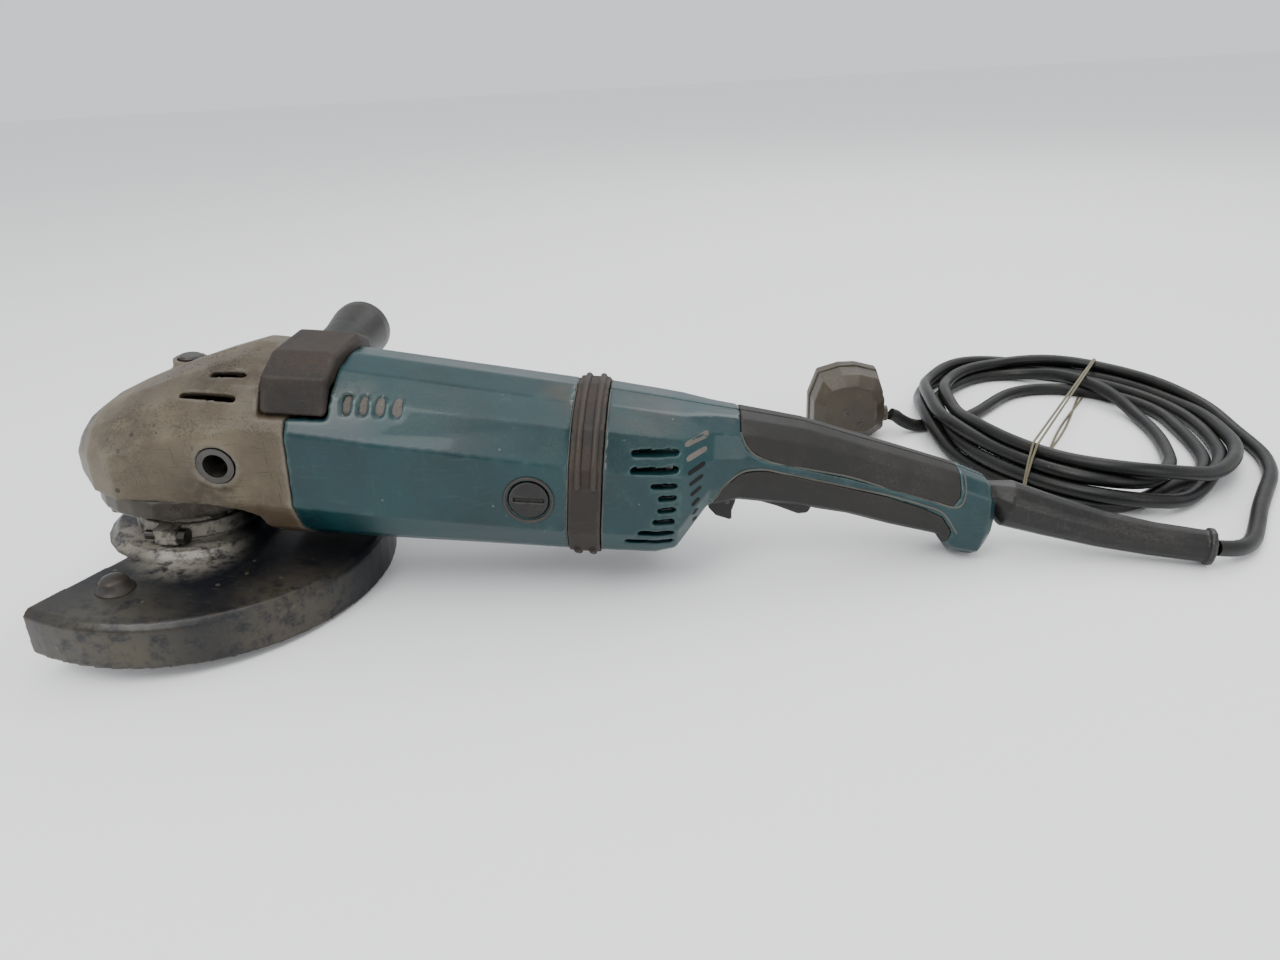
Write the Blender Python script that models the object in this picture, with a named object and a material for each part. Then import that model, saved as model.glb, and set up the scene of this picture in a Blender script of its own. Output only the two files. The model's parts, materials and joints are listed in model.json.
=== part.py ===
"""Large two-handed angle grinder, built as an assembly of separate pieces.

The pieces are modelled in the machine's own axes: X runs from the gear head to the tail along the
armature, Z is the spindle axis, pointing up, and Y points to the side that carries the side handle.
Both axes meet at the empty `machine`, which is then tipped and moved so that the grinder stands on
its guard and its tail hook, with the ground at Z = 0.  Sizes are in millimetres until `MM`.
"""

import math

import bmesh
import bpy
from mathutils import Matrix, Vector

MM = 0.001
GAP = 0.3
WALL = 3.2
WELD = 1e-6

# Overall sizes
NOSE_R = 49.0
CASE_END = 71.0
MOTOR_END = 205.0
BAND_END = 221.0
TAIL_X = 423.0
BODY_HALF = 46.0
CASE_TOP = 57.0
MOTOR_TOP = 53.0
BAND_TOP = 43.0
BODY_BOTTOM = 43.0

# Gear head
CASE_FLOOR = -13.0
BOX_R = 45.0
BOX_FLOOR = -24.0
NECK_R = 27.0
NECK_END = -45.0
BOX_SCREW_R = 39.0
BOX_SCREW_SHANK = 2.5
HANDLE_X = 37.0
HANDLE_Z = 9.0
BUSH_R = 9.0
BUSH_DEPTH = 14.0
THREAD_R = 7.0
LOCK_X = -1.0
LOCK_Y = 18.5
LOCK_TOP = 40.5
LOCK_R = 6.0

# Gear train: both pitch cones meet where the spindle and the armature axes cross
PINION_TEETH = 9
GEAR_TEETH = 36
GEAR_R = 30.0
FACE_IN = 0.62
BACKLASH = 0.80
SPINDLE_R = 7.5
SPINDLE_END = -66.0
SPINDLE_BEARING_R = 17.5
NEEDLE_R = 8.0

# Guard
GUARD_R = 101.0
GUARD_TOP = -47.5
GUARD_SKIRT = 24.0
GUARD_SHEET = 2.5
GUARD_DISC_R = 46.0
GUARD_START = math.radians(246)
GUARD_SPAN = math.radians(180)
GUARD_STEPS = 30
BAND_SHEET = 3.0
BAND_WALL = 2.2

# Motor
SHAFT_R = 8.0
FRONT_BEARING = (46.5, 56.0, 16.0, 6.0)
REAR_BEARING = (199.0, 208.0, 13.0, 5.0)
FAN_R = 36.0
CORE_R = 23.0
CORE = (112.0, 162.0)
STATOR_R = 38.0
COMMUTATOR = (176.0, 194.5)
COMMUTATOR_R = 14.0
BRUSH_X = 186.0
BRUSH_CAP_R = 9.6

# Handle
GRIP_HALF = 20.0
GRIP_SKIN = 2.2
SPLIT = 0.15
TRIGGER = (294.0, 330.0)
TRIGGER_HALF = 8.5
TRIGGER_PIVOT = (297.0, -7.0)
LEVER_PIVOT = (285.0, -14.5)
LEVER_HALF = 6.5
HOOK_X = 419.0
HOOK_Z = -39.0
GUARD_EXIT_Z = -6.0

# Side handle
SIDE_START = 54.0
SIDE_END = 182.0
SIDE_R = 15.5
SIDE_END_R = 19.5
SIDE_FLANGE_R = 25.0

CORD_D = 8.5


def clear_scene():
    for obj in list(bpy.data.objects):
        bpy.data.objects.remove(obj, do_unlink=True)


def material(name, colour, roughness, metallic=0.0):
    made = bpy.data.materials.new(name)
    made.use_nodes = True
    shader = made.node_tree.nodes["Principled BSDF"]
    shader.inputs["Base Color"].default_value = (*colour, 1.0)
    shader.inputs["Roughness"].default_value = roughness
    shader.inputs["Metallic"].default_value = metallic
    return made


def solid(name, bm, finish, parent=None, smooth=True):
    """An object holding this bmesh, which is in millimetres, with its faces pointing outwards."""
    bmesh.ops.remove_doubles(bm, verts=bm.verts, dist=1e-5)
    bmesh.ops.dissolve_degenerate(bm, edges=bm.edges, dist=1e-6)
    bmesh.ops.recalc_face_normals(bm, faces=bm.faces)
    bm.transform(Matrix.Scale(MM, 4))
    mesh = bpy.data.meshes.new(name)
    bm.to_mesh(mesh)
    bm.free()
    obj = bpy.data.objects.new(name, mesh)
    bpy.context.scene.collection.objects.link(obj)
    if finish:
        mesh.materials.append(finish)
    if smooth:
        mesh.shade_smooth()
        mesh.set_sharp_from_angle(angle=math.radians(35))
    obj.parent = parent
    return obj


def turned(profile, steps=24, axis="Z", centre=(0, 0, 0)):
    """A turned shape. The profile is (radius, height) pairs, closed unless it starts and ends on the axis."""
    bm = bmesh.new()
    verts = [bm.verts.new((r, 0, h)) for r, h in profile]
    pairs = list(zip(verts, verts[1:]))
    if profile[0][0] > 0:
        pairs.append((verts[-1], verts[0]))
    edges = [bm.edges.new(pair) for pair in pairs]
    bmesh.ops.spin(bm, geom=verts + edges, cent=(0, 0, 0), axis=(0, 0, 1), angle=2 * math.pi,
                   steps=steps, use_merge=True)
    bmesh.ops.remove_doubles(bm, verts=bm.verts, dist=1e-5)
    if axis == "X":
        bm.transform(Matrix.Rotation(math.pi / 2, 4, "Y"))
    if axis == "Y":
        bm.transform(Matrix.Rotation(-math.pi / 2, 4, "X"))
    bm.transform(Matrix.Translation(centre))
    return bm


def tube(inner, outer, low, high, **place):
    return turned([(inner, low), (inner, high), (outer, high), (outer, low)], **place)


def rod(radius, low, high, **place):
    return turned([(0, high), (radius, high), (radius, low), (0, low)], **place)


def box(low, high):
    bm = bmesh.new()
    bmesh.ops.create_cube(bm, size=1)
    size = [b - a for a, b in zip(low, high)]
    middle = [(a + b) / 2 for a, b in zip(low, high)]
    bm.transform(Matrix.Translation(middle) @ Matrix.Diagonal((*size, 1)))
    return bm


def plate(outline, low, high, plane="XZ"):
    """An outline of points in a plane, extruded between two heights across it."""
    place = {"XZ": lambda a, b, h: (a, h, b), "XY": lambda a, b, h: (a, b, h), "YZ": lambda a, b,
             h: (h, a, b)}
    bm = bmesh.new()
    ends = [[bm.verts.new(place[plane](a, b, h)) for a, b in outline] for h in (low, high)]
    bm.faces.new(ends[0])
    bm.faces.new(reversed(ends[1]))
    for i in range(len(outline)):
        j = (i + 1) % len(outline)
        bm.faces.new((ends[0][j], ends[0][i], ends[1][i], ends[1][j]))
    return bm


def loft(rings):
    """A closed skin over rings of equal count, capped at both ends."""
    bm = bmesh.new()
    rows = [[bm.verts.new(point) for point in ring] for ring in rings]
    bm.faces.new(rows[0])
    bm.faces.new(reversed(rows[-1]))
    for a, b in zip(rows, rows[1:]):
        for i in range(len(a)):
            j = (i + 1) % len(a)
            bm.faces.new((a[j], a[i], b[i], b[j]))
    return bm


def carve(obj, bm, operation="DIFFERENCE"):
    """Cuts, joins or keeps the shape of a bmesh, and stores the result in the object's own mesh."""
    tool = solid(obj.name + "_tool", bm, None, obj.parent, smooth=False)
    tool.display_type = "WIRE"
    tool.hide_render = True
    change = obj.modifiers.new("Carve", "BOOLEAN")
    change.operation = operation
    change.object = tool
    change.solver = "EXACT"
    bpy.context.view_layer.update()
    graph = bpy.context.evaluated_depsgraph_get()
    made = bpy.data.meshes.new_from_object(obj.evaluated_get(graph))
    obj.modifiers.remove(change)
    bm = bmesh.new()
    bm.from_mesh(made)
    bmesh.ops.remove_doubles(bm, verts=bm.verts, dist=WELD)
    bmesh.ops.dissolve_degenerate(bm, edges=bm.edges, dist=WELD)
    bmesh.ops.triangulate(bm, faces=bm.faces)
    bm.to_mesh(made)
    bm.free()
    obj.data = made
    bpy.data.objects.remove(tool, do_unlink=True)
    return obj


def taken(obj):
    """The shape of a helper object as a bmesh in millimetres, with the object removed."""
    bm = bmesh.new()
    bm.from_mesh(obj.data)
    bm.transform(Matrix.Scale(1 / MM, 4))
    bpy.data.objects.remove(obj, do_unlink=True)
    return bm


# Cross-sections: half outlines from the top down, as (share of half width, share of half height)
FACETED = ((0, 1), (0.39, 0.945), (0.73, 0.78), (1, 0.415), (1, -0.37), (0.80, -0.70), (0.43, -0.95), (0, -1))
OVAL = ((0, 1), (0.42, 0.95), (0.80, 0.72), (1, 0.25), (1, -0.25), (0.80, -0.72), (0.42, -0.95), (0, -1))


def section(x, half, top, bottom, oval=0.0, inset=0.0):
    """A closed ring at x, between heights top and -bottom, a wall's thickness in from the surface."""
    middle = (top - bottom) / 2
    tall = (top + bottom) / 2 - inset
    wide = half - inset
    outline = [
        ((1 - oval) * a[0] + oval * b[0], (1 - oval) * a[1] + oval * b[1]) for a, b in zip(FACETED, OVAL)
    ]
    right = [(x, wide * y, middle + tall * z) for y, z in outline]
    left = [(x, -wide * y, middle + tall * z) for y, z in reversed(outline[1:-1])]
    return right + left


def skin(sections, inset=0.0, start=None, end=None):
    rows = [section(*row, inset=inset) for row in sections]
    if start is not None:
        rows[0] = [(start, y, z) for _, y, z in rows[0]]
    if end is not None:
        rows[-1] = [(end, y, z) for _, y, z in rows[-1]]
    return loft(rows)


def nose_half(x):
    return math.sqrt(NOSE_R**2 - x**2)


CASE = [
    (-NOSE_R + 1.5, nose_half(-NOSE_R + 4), 8, 20, 0.3),
    (-42, nose_half(-42), 16, 30, 0.2),
    (-30, nose_half(-30), 25, 36, 0.2),
    (-15, nose_half(-15), 33, 40, 0.1),
    (5, BODY_HALF, 42, 43, 0),
    (25, BODY_HALF, 50, 43, 0),
    (45, BODY_HALF, CASE_TOP, BODY_BOTTOM, 0),
    (CASE_END - GAP, BODY_HALF, CASE_TOP - 1, BODY_BOTTOM, 0),
]
MOTOR = [
    (CASE_END, BODY_HALF, CASE_TOP - 1, BODY_BOTTOM, 0),
    (95, BODY_HALF, MOTOR_TOP, BODY_BOTTOM, 0),
    (MOTOR_END - GAP, BODY_HALF, BAND_TOP, BODY_BOTTOM, 0),
]
HANDLE = [
    (BAND_END, BODY_HALF - 0.5, BAND_TOP - 0.5, BODY_BOTTOM, 0),
    (249, 43.5, 39.5, 43, 0),
    (259, 41, 38.3, 40.5, 0.2),
    (274, 27, 36.5, 17, 0.7),
    (290, 22.5, 34.8, 13, 1),
    (320, GRIP_HALF, 31, 15, 1),
    (348, 19.5, 24, 18, 1),
    (371, 19, 18.5, 23, 1),
    (397, 18, 12, 27.5, 1),
    (405, 17.5, 10, 37.3, 1),
    (HOOK_X, 17, 5, 38.8, 1),
    (TAIL_X, 14, -2, 30, 1),
]
NECK_INSET = 2.6
BUMPER = (58.0, 90.0)
BUMPER_SEAT = ((-36.0, 34.0), (-29.0, 44.0), (29.0, 44.0), (36.0, 34.0))
BUMPER_TOP = ((41.0, 34.0), (34.0, 51.0), (17.0, 58.5), (-17.0, 58.5), (-34.0, 51.0), (-41.0, 34.0))


def bumper_seat(obj):
    """The flat that the bumper sits on, across the top of the gear case and of the motor housing."""
    drop = 4 * GAP
    low = BUMPER_SEAT[0][1] - drop
    space = [(-60, low)] + [(y, z - drop) for y, z in BUMPER_SEAT] + [(60, low), (60, 80), (-60, 80)]
    return carve(obj, plate(space, BUMPER[0] - GAP, BUMPER[1] + GAP, "YZ"))


def gear_head(machine, finish):
    case = solid("gear_case", skin(CASE), finish["casting"], machine)
    floor = [(-70, CASE_FLOOR), (30, CASE_FLOOR), (43, -16), (51, -20), (53, -28), (53, -70), (-70, -70)]
    carve(case, plate(floor, -70, 70))
    cavity = CASE[1:-1]
    hollow = solid("hollow", skin(cavity, inset=5, start=-40, end=FRONT_BEARING[0] - 4), None, machine, False)
    for side in (-1, 1):
        low, high = sorted((side * (BODY_HALF + 1), side * (BODY_HALF - BUSH_DEPTH)))
        place = {"axis": "Y", "centre": (HANDLE_X, 0, HANDLE_Z)}
        carve(case, rod(BUSH_R + 3.4, low, high, **place), "UNION")
        carve(hollow, rod(BUSH_R + 3.4, low, high, **place))
    carve(case, taken(hollow))
    carve(case, rod(36, -20, CASE_FLOOR + 8))
    rear = [(FRONT_BEARING[1], *CASE[-2][1:]), CASE[-1]]
    carve(case, skin(rear, inset=14, end=CASE_END + 5))
    carve(case, rod(FRONT_BEARING[2] + GAP, 30, 60, axis="X"))
    carve(case, tube(NEEDLE_R + GAP, 12, 16, 33), "UNION")
    carve(case, rod(LOCK_R + 3, 20, LOCK_TOP - 1.5, centre=(LOCK_X, LOCK_Y, 0)), "UNION")
    carve(case, rod(LOCK_R + GAP, 30, 60, centre=(LOCK_X, LOCK_Y, 0)))
    carve(case, rod(2.5 + GAP, 10, 40, centre=(LOCK_X, LOCK_Y, 0)))
    for side in (-1, 1):
        low, high = sorted((side * (BODY_HALF + 9), side * (BODY_HALF - BUSH_DEPTH - 3)))
        carve(case, rod(BUSH_R + GAP, low, high, axis="Y", steps=28, centre=(HANDLE_X, 0, HANDLE_Z)))
        low, high = sorted((side * (BODY_HALF + 1), side * (BODY_HALF - BUSH_DEPTH + GAP)))
        bush = tube(THREAD_R if side > 0 else THREAD_R - 1, BUSH_R, low, high, steps=24, axis="Y",
                    centre=(HANDLE_X, 0, HANDLE_Z))
        solid("handle_bush_left" if side < 0 else "handle_bush_right", bush, finish["steel"], machine)
        for x, y, z, long in ((39.5, 27, 49, 20), (32, 35, 40, 30)):
            slot = box((-long / 2, -12, -1.6), (long / 2, 12, 1.6))
            slot.transform(Matrix.Translation((x, side * y, z)) @ Matrix.Rotation(side * math.radians(48),
                                                                                  4, "X")
                           @ Matrix.Rotation(math.radians(6), 4, "Y"))
            carve(case, slot)
    for place in box_screw_places():
        carve(case, rod(BOX_SCREW_SHANK + GAP, -40, -3, centre=place, steps=16))
    bumper_seat(case)

    bearing_box = solid("bearing_box", turned([
        (SPINDLE_R + 2.5, NECK_END), (NECK_R, NECK_END), (NECK_R, BOX_FLOOR - 2), (NECK_R + 2, BOX_FLOOR),
        (BOX_R, BOX_FLOOR), (BOX_R, CASE_FLOOR - GAP), (34, CASE_FLOOR - GAP), (34, -22.5),
        (SPINDLE_BEARING_R + GAP, -22.5), (SPINDLE_BEARING_R + GAP, -37), (SPINDLE_R + 2.5, -37),
    ], steps=28), finish["bearing_box"], machine)
    carve(bearing_box, box((40.5, -60, -60), (60, 60, 0)))
    for number, place in enumerate(box_screw_places(), 1):
        carve(bearing_box, rod(BOX_SCREW_SHANK + GAP, -40, 0, centre=place, steps=16))
        head = BOX_FLOOR - GAP
        screw = turned([(0, -4), (BOX_SCREW_SHANK, -4), (BOX_SCREW_SHANK, head), (4.5, head), (4.2, head - 3),
                        (0, head - 3)], steps=16, centre=place)
        solid(f"bearing_box_screw_{number}", screw, finish["steel"], machine)
    solid("spindle_bearing", tube(SPINDLE_R + GAP, SPINDLE_BEARING_R, -36.7, -25.7), finish["steel"], machine)
    solid("needle_bearing", tube(5 + GAP, NEEDLE_R, 17, 28, steps=20), finish["steel"], machine)
    solid("front_bearing", tube(FRONT_BEARING[3] + GAP, FRONT_BEARING[2], FRONT_BEARING[0], FRONT_BEARING[1],
                                axis="X"), finish["steel"], machine)

    bumper = solid("top_bumper", plate(BUMPER_SEAT + BUMPER_TOP, *BUMPER, "YZ"), finish["rubber"], machine,
                   False)
    soften = bumper.modifiers.new("Soften", "BEVEL")
    soften.width = 2 * MM
    soften.segments = 1
    soften.angle_limit = math.radians(50)

    lock = bpy.data.objects.new("lock_axis", None)
    bpy.context.scene.collection.objects.link(lock)
    lock.parent = machine
    lock.location = Vector((LOCK_X, LOCK_Y, 0)) * MM
    button = turned([(0, LOCK_TOP), (LOCK_R - 1, LOCK_TOP), (LOCK_R, LOCK_TOP - 1), (LOCK_R, 35),
                     (2.5, 35), (2.5, 8), (0, 8)], steps=24)
    solid("shaft_lock_button", button, finish["black_plastic"], lock)


def box_screw_places():
    return [(BOX_SCREW_R * math.cos(math.radians(a)), BOX_SCREW_R * math.sin(math.radians(a)), 0)
            for a in (50, 130, 230, 310)]


def bevel_teeth(count, mate):
    """A bevel wheel with straight teeth on +Z, whose pitch cone has its tip at the origin."""
    cone = math.atan2(count, mate)
    length = GEAR_R / math.sin(math.atan2(GEAR_TEETH, PINION_TEETH))
    module = 2 * length * math.sin(cone) / count
    rise = {"root": -1.2, "tip": 0.65}
    width = {"root": 0.72, "tip": 0.34}
    corners = []
    for number in range(count):
        middle = 2 * math.pi * number / count
        pitch = 2 * math.pi / count
        for level, side in (("root", -1), ("tip", -1), ("tip", 1), ("root", 1)):
            corners.append((middle + side * pitch * width[level] * BACKLASH / 2, rise[level] * module))
    rings = []
    for share in (FACE_IN, 1.0):
        ring = []
        for angle, lift in corners:
            out = share * (length * math.sin(cone) + lift * math.cos(cone))
            up = share * (length * math.cos(cone) - lift * math.sin(cone))
            ring.append((out * math.cos(angle), out * math.sin(angle), up))
        rings.append(ring)
    return rings


def spindle_group(machine, finish):
    axis = bpy.data.objects.new("spindle_axis", None)
    bpy.context.scene.collection.objects.link(axis)
    axis.parent = machine
    spindle = turned([
        (0, 28), (5, 28), (5, 10), (6.5, 10), (6.5, -22), (SPINDLE_R, -24), (SPINDLE_R, -46), (THREAD_R, -48),
        (THREAD_R, SPINDLE_END + 1), (THREAD_R - 1, SPINDLE_END), (0, SPINDLE_END)], steps=28)
    solid("spindle", spindle, finish["steel"], axis)
    inner, outer = [[(x, y, -z) for x, y, z in ring] for ring in bevel_teeth(GEAR_TEETH, PINION_TEETH)]
    back = [(x, y, -18.5) for x, y, _ in outer]
    front = [(x * 0.55, y * 0.55, -9.5) for x, y, _ in inner]
    gear = solid("bevel_gear", loft([front, inner, outer, back]), finish["steel"], axis, False)
    carve(gear, rod(6.5 + GAP, -40, 20, steps=28))
    flange = turned([(THREAD_R + GAP, -56.5), (THREAD_R + GAP, -50), (14, -50), (14, -53), (22, -53),
                     (22, -56.5)],
                    steps=32)
    solid("inner_flange", flange, finish["steel"], axis)
    nut = turned([(THREAD_R + GAP, -65), (THREAD_R + GAP, -58.5), (20, -58.5), (21, -60), (21, -63),
                  (13, -65)],
                 steps=32)
    nut = solid("lock_nut", nut, finish["steel"], axis)
    for angle in (0, 90, 180, 270):
        turn = Matrix.Rotation(math.radians(angle), 4, "Z")
        carve(nut, rod(2.4, -70, -61, steps=12, centre=turn @ Vector((16.5, 0, 0))))


def motor(machine, finish):
    housing = solid("motor_housing", skin(MOTOR), finish["teal"], machine)
    carve(housing, skin([MOTOR[0], MOTOR[1], MOTOR[2]], inset=WALL, start=CASE_END - 5, end=195))
    neck = [(MOTOR_END - 3, *MOTOR[2][1:]), (213, *MOTOR[2][1:])]
    carve(housing, skin(neck, inset=NECK_INSET), "UNION")
    inside = [(199, *MOTOR[2][1:]), (220, *MOTOR[2][1:])]
    carve(housing, skin(inside, inset=NECK_INSET + WALL))
    carve(housing, rod(REAR_BEARING[2] + GAP, 180, 230, axis="X"))
    for side in (-1, 1):
        low, high = sorted((side * (BODY_HALF + 4), side * (BODY_HALF - 10)))
        carve(housing, rod(BRUSH_CAP_R + GAP, low, high, axis="Y", centre=(BRUSH_X, 0, 0), steps=24))
        name = "left" if side < 0 else "right"
        near, far = sorted((side * 20.0, side * 38.0))
        holder = box((BRUSH_X - 7, near, -9), (BRUSH_X + 7, far, 9))
        holder = solid(f"brush_holder_{name}", holder, finish["brass"], machine, False)
        carve(holder, box((BRUSH_X - 4 - GAP, near - 5, -6 - GAP), (BRUSH_X + 4 + GAP, far + 5, 6 + GAP)))
        near, far = sorted((side * (COMMUTATOR_R + GAP), side * 33.0))
        solid(f"carbon_brush_{name}", box((BRUSH_X - 4, near, -6), (BRUSH_X + 4, far, 6)), finish["carbon"],
              machine,
              False)
        near, far = sorted((side * (BODY_HALF - 7), side * (BODY_HALF + 0.6)))
        cap = solid(f"brush_cap_{name}", rod(BRUSH_CAP_R, near, far, axis="Y", centre=(BRUSH_X, 0, 0),
                                             steps=28),
                    finish["black_plastic"], machine)
        carve(cap, box((BRUSH_X - 7.5, side * BODY_HALF - 1, -1.2),
                       (BRUSH_X + 7.5, side * BODY_HALF + 1, 1.2)))
    for x, z in ((98.7, 41), (106.5, 41), (114.3, 41), (122.5, 41)):
        for side in (-1, 1):
            notch = box((-1.9, -4, -5.5), (1.9, 4, 5.5))
            notch.transform(Matrix.Translation((x, side * 35.5,
                                                z)) @ Matrix.Rotation(side * math.radians(45), 4, "X"))
            carve(housing, notch)
    bumper_seat(housing)

    band = [(MOTOR_END, *MOTOR[2][1:]), (BAND_END - GAP, *MOTOR[2][1:])]
    ring = solid("housing_band", skin(band, inset=-1.2), finish["rubber"], machine)
    carve(ring, skin([(200, *MOTOR[2][1:]), (225, *MOTOR[2][1:])], inset=NECK_INSET - GAP))

    baffle = tube(FAN_R - 10, FAN_R + 3, 99.5, 102, axis="X")
    solid("fan_baffle", baffle, finish["black_plastic"], machine)
    stator = turned([
        (CORE_R + 0.7, CORE[0]), (CORE_R + 0.7, CORE[1]), (27, CORE[1]), (27, CORE[1] + 8), (36, CORE[1] + 8),
        (36, CORE[1]), (STATOR_R, CORE[1]), (STATOR_R, CORE[0]), (36, CORE[0]), (36, CORE[0] - 7),
        (27, CORE[0] - 7), (27, CORE[0])], axis="X")
    solid("stator", stator, finish["iron"], machine)
    solid("rear_bearing", tube(REAR_BEARING[3] + GAP, REAR_BEARING[2], REAR_BEARING[0], REAR_BEARING[1],
                               axis="X"),
          finish["steel"], machine)


def armature(machine, finish):
    axis = bpy.data.objects.new("armature_axis", None)
    bpy.context.scene.collection.objects.link(axis)
    axis.parent = machine
    shaft = turned([
        (0, 210), (5, 210), (5, 197.5), (SHAFT_R, 197.5), (SHAFT_R, 58), (6, 58), (6, 31.5), (3.2, 31.5),
        (3.2, 15), (0, 15)], steps=20, axis="X")
    solid("armature_shaft", shaft, finish["steel"], axis)
    inner, outer = bevel_teeth(PINION_TEETH, GEAR_TEETH)
    turn = Matrix.Rotation(math.pi / PINION_TEETH, 4, "Z")
    rings = [[Matrix.Rotation(math.pi / 2, 4, "Y") @ turn @ Vector(p) for p in ring] for ring in (inner,
                                                                                                  outer)]
    pinion = solid("pinion", loft(rings), finish["steel"], axis, False)
    carve(pinion, rod(3.2 + GAP, 10, 35, steps=16, axis="X"))
    slots = 12
    outline = []
    for number in range(slots):
        for share, radius in ((-0.36, CORE_R), (0.0, CORE_R), (0.36, CORE_R), (0.40, CORE_R - 4),
                              (0.60, CORE_R - 4)):
            angle = 2 * math.pi * (number + share) / slots
            outline.append((radius * math.cos(angle), radius * math.sin(angle)))
    core = solid("armature_core", plate(outline, *CORE, "YZ"), finish["iron"], axis, False)
    windings = turned([(SHAFT_R, CORE[0] - 8), (CORE_R - 6, CORE[0] - 8), (CORE_R - 5, CORE[1] + 9),
                       (SHAFT_R, CORE[1] + 9)], steps=24, axis="X")
    carve(core, windings, "UNION")
    carve(core, rod(SHAFT_R + GAP, 90, 190, axis="X", steps=20))
    solid("commutator", tube(SHAFT_R + GAP, COMMUTATOR_R, *COMMUTATOR, axis="X", steps=24), finish["brass"],
          axis)
    blades = 11
    outline = []
    for number in range(blades):
        for share, radius in ((-0.10, FAN_R), (0.10, FAN_R), (0.12, 16), (0.88, 16)):
            angle = 2 * math.pi * (number + share) / blades
            outline.append((radius * math.cos(angle), radius * math.sin(angle)))
    fan = solid("cooling_fan", plate(outline, 84, 95, "YZ"), finish["black_plastic"], axis, False)
    carve(fan, rod(FAN_R, 94, 97, axis="X"), "UNION")
    carve(fan, rod(SHAFT_R + GAP, 70, 110, axis="X", steps=20))


def guard_group(machine, finish):
    axis = bpy.data.objects.new("guard_axis", None)
    bpy.context.scene.collection.objects.link(axis)
    axis.parent = machine
    top = GUARD_TOP
    low = top - GUARD_SHEET
    foot = top - GUARD_SKIRT
    collar = NECK_R + GAP
    profile = [(collar + 2, top), (GUARD_R - 3, top), (GUARD_R, top - 3), (GUARD_R, foot),
               (GUARD_R - GUARD_SHEET, foot), (GUARD_R - GUARD_SHEET, low), (collar + 2, low)]
    bm = bmesh.new()
    verts = [bm.verts.new((r * math.cos(GUARD_START), r * math.sin(GUARD_START), z)) for r, z in profile]
    face = bm.faces.new(verts)
    bmesh.ops.spin(bm, geom=[face], cent=(0, 0, 0), axis=(0, 0, 1), angle=GUARD_SPAN, steps=GUARD_STEPS)
    guard = solid("guard", bm, finish["guard"], axis)
    centre = turned([
        (collar, top + 16), (collar + BAND_SHEET - 1, top + 16), (collar + BAND_SHEET - 1, top + 3.5),
        (GUARD_DISC_R - 5, top + 3.5), (GUARD_DISC_R - 2, top + 0.4), (GUARD_DISC_R, top - 0.6),
        (GUARD_DISC_R, low + 0.2),
        (collar, low + 0.2)], steps=28)
    carve(guard, centre, "UNION")
    inner = collar + BAND_SHEET - 1 + GAP
    low, high = top + 5, top + 14
    screw_place = (0, -inner - 6, (low + high) / 2)
    ring = tube(inner, inner + BAND_WALL, low, high, steps=28)
    band = solid("guard_band", ring, finish["steel_dark"], axis)
    carve(band, box((-6, -inner - 9, low), (6, -inner - 1, high)), "UNION")
    carve(band, rod(2.8, -20, 20, axis="X", centre=screw_place, steps=14))
    profile = [(0, 10), (4.2, 10), (4.2, 6 + GAP), (2.5, 6 + GAP), (2.5, -11), (0, -11)]
    screw = turned(profile, steps=14, axis="X", centre=screw_place)
    solid("guard_screw", screw, finish["steel"], axis)


UPPER_LINE = ((287, 60), (287.2, 29), (291.7, 21), (299.7, 16.8), (310.4, 14.2), (342.5, 8.8), (364.5, 3.7),
              (387.3, -2.2), (399, -5.2), (402.5, -1), (403, 60))
LOWER_LINE = ((276.2, -60), (276.2, -10), (280.2, 2), (288.9, 9.5), (300.2, 11), (311, 9.4), (343.4, 3.4),
              (365.1, -1), (384.3, -6.6), (394.7, -11), (401.5, -20), (402.5, -60))


def tail_handle(machine, finish):
    for side, name in ((-1, "left"), (1, "right")):
        shell = solid(f"handle_{name}", skin(HANDLE), finish["teal"], machine)
        neck = [(213 + GAP, *MOTOR[2][1:]), (BAND_END + 3, *MOTOR[2][1:])]
        carve(shell, skin(neck, inset=NECK_INSET), "UNION")
        hollow = [(213, *HANDLE[0][1:])] + HANDLE[1:9]
        carve(shell, skin(hollow, inset=NECK_INSET + WALL, start=205, end=396))
        carve(shell, box((TRIGGER[0] - GAP * 2, -TRIGGER_HALF - GAP, -40),
                         (TRIGGER[1] + GAP, TRIGGER_HALF + GAP, 0)))
        carve(shell, box((LEVER_PIVOT[0] - 14, -LEVER_HALF - GAP, -40), (TRIGGER[0], LEVER_HALF + GAP, -5)))
        carve(shell, turned([(0, 430), (9.4, 430), (9.4, 413.5), (7, 413.5), (7, 385), (0, 385)], steps=20,
                            axis="X",
                            centre=(0, 0, GUARD_EXIT_Z)))
        for line, piece in ((UPPER_LINE, "upper_grip"), (LOWER_LINE, "lower_grip")):
            region = plate(line, min(side * 40, 0), max(side * 40, 0))
            grip = solid(f"{piece}_{name}", skin(HANDLE), finish["grip"], machine)
            carve(grip, region, "INTERSECT")
            carve(grip, skin(HANDLE, inset=GRIP_SKIN))
            recess = solid("recess", plate(line, min(side * 40, 0), max(side * 40, 0)), None, machine, False)
            carve(recess, skin(HANDLE, inset=GRIP_SKIN + GAP))
            carve(shell, taken(recess))
            if piece == "lower_grip":
                carve(grip, box((200, -TRIGGER_HALF - GAP, -60), (TRIGGER[1] + GAP, TRIGGER_HALF + GAP, 0)))
            trim(grip, side)
        for low, z in SLOT_ROWS:
            carve(shell, box((low, min(side * 30, side * 60), z - 1.4),
                             (257, max(side * 30, side * 60), z + 1.4)))
        trim(shell, side)


SLOT_ROWS = ((234, 24), (234, 17), (244, 9.5), (248, 3), (248, -3.5), (246, -10), (239, -16.5), (233, -23))


def trim(obj, side):
    """Keeps the half of a shell on one side of the machine's middle plane."""
    low, high = sorted((-side * 90, side * SPLIT))
    carve(obj, box((150, low, -120), (500, high, 120)))


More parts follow.
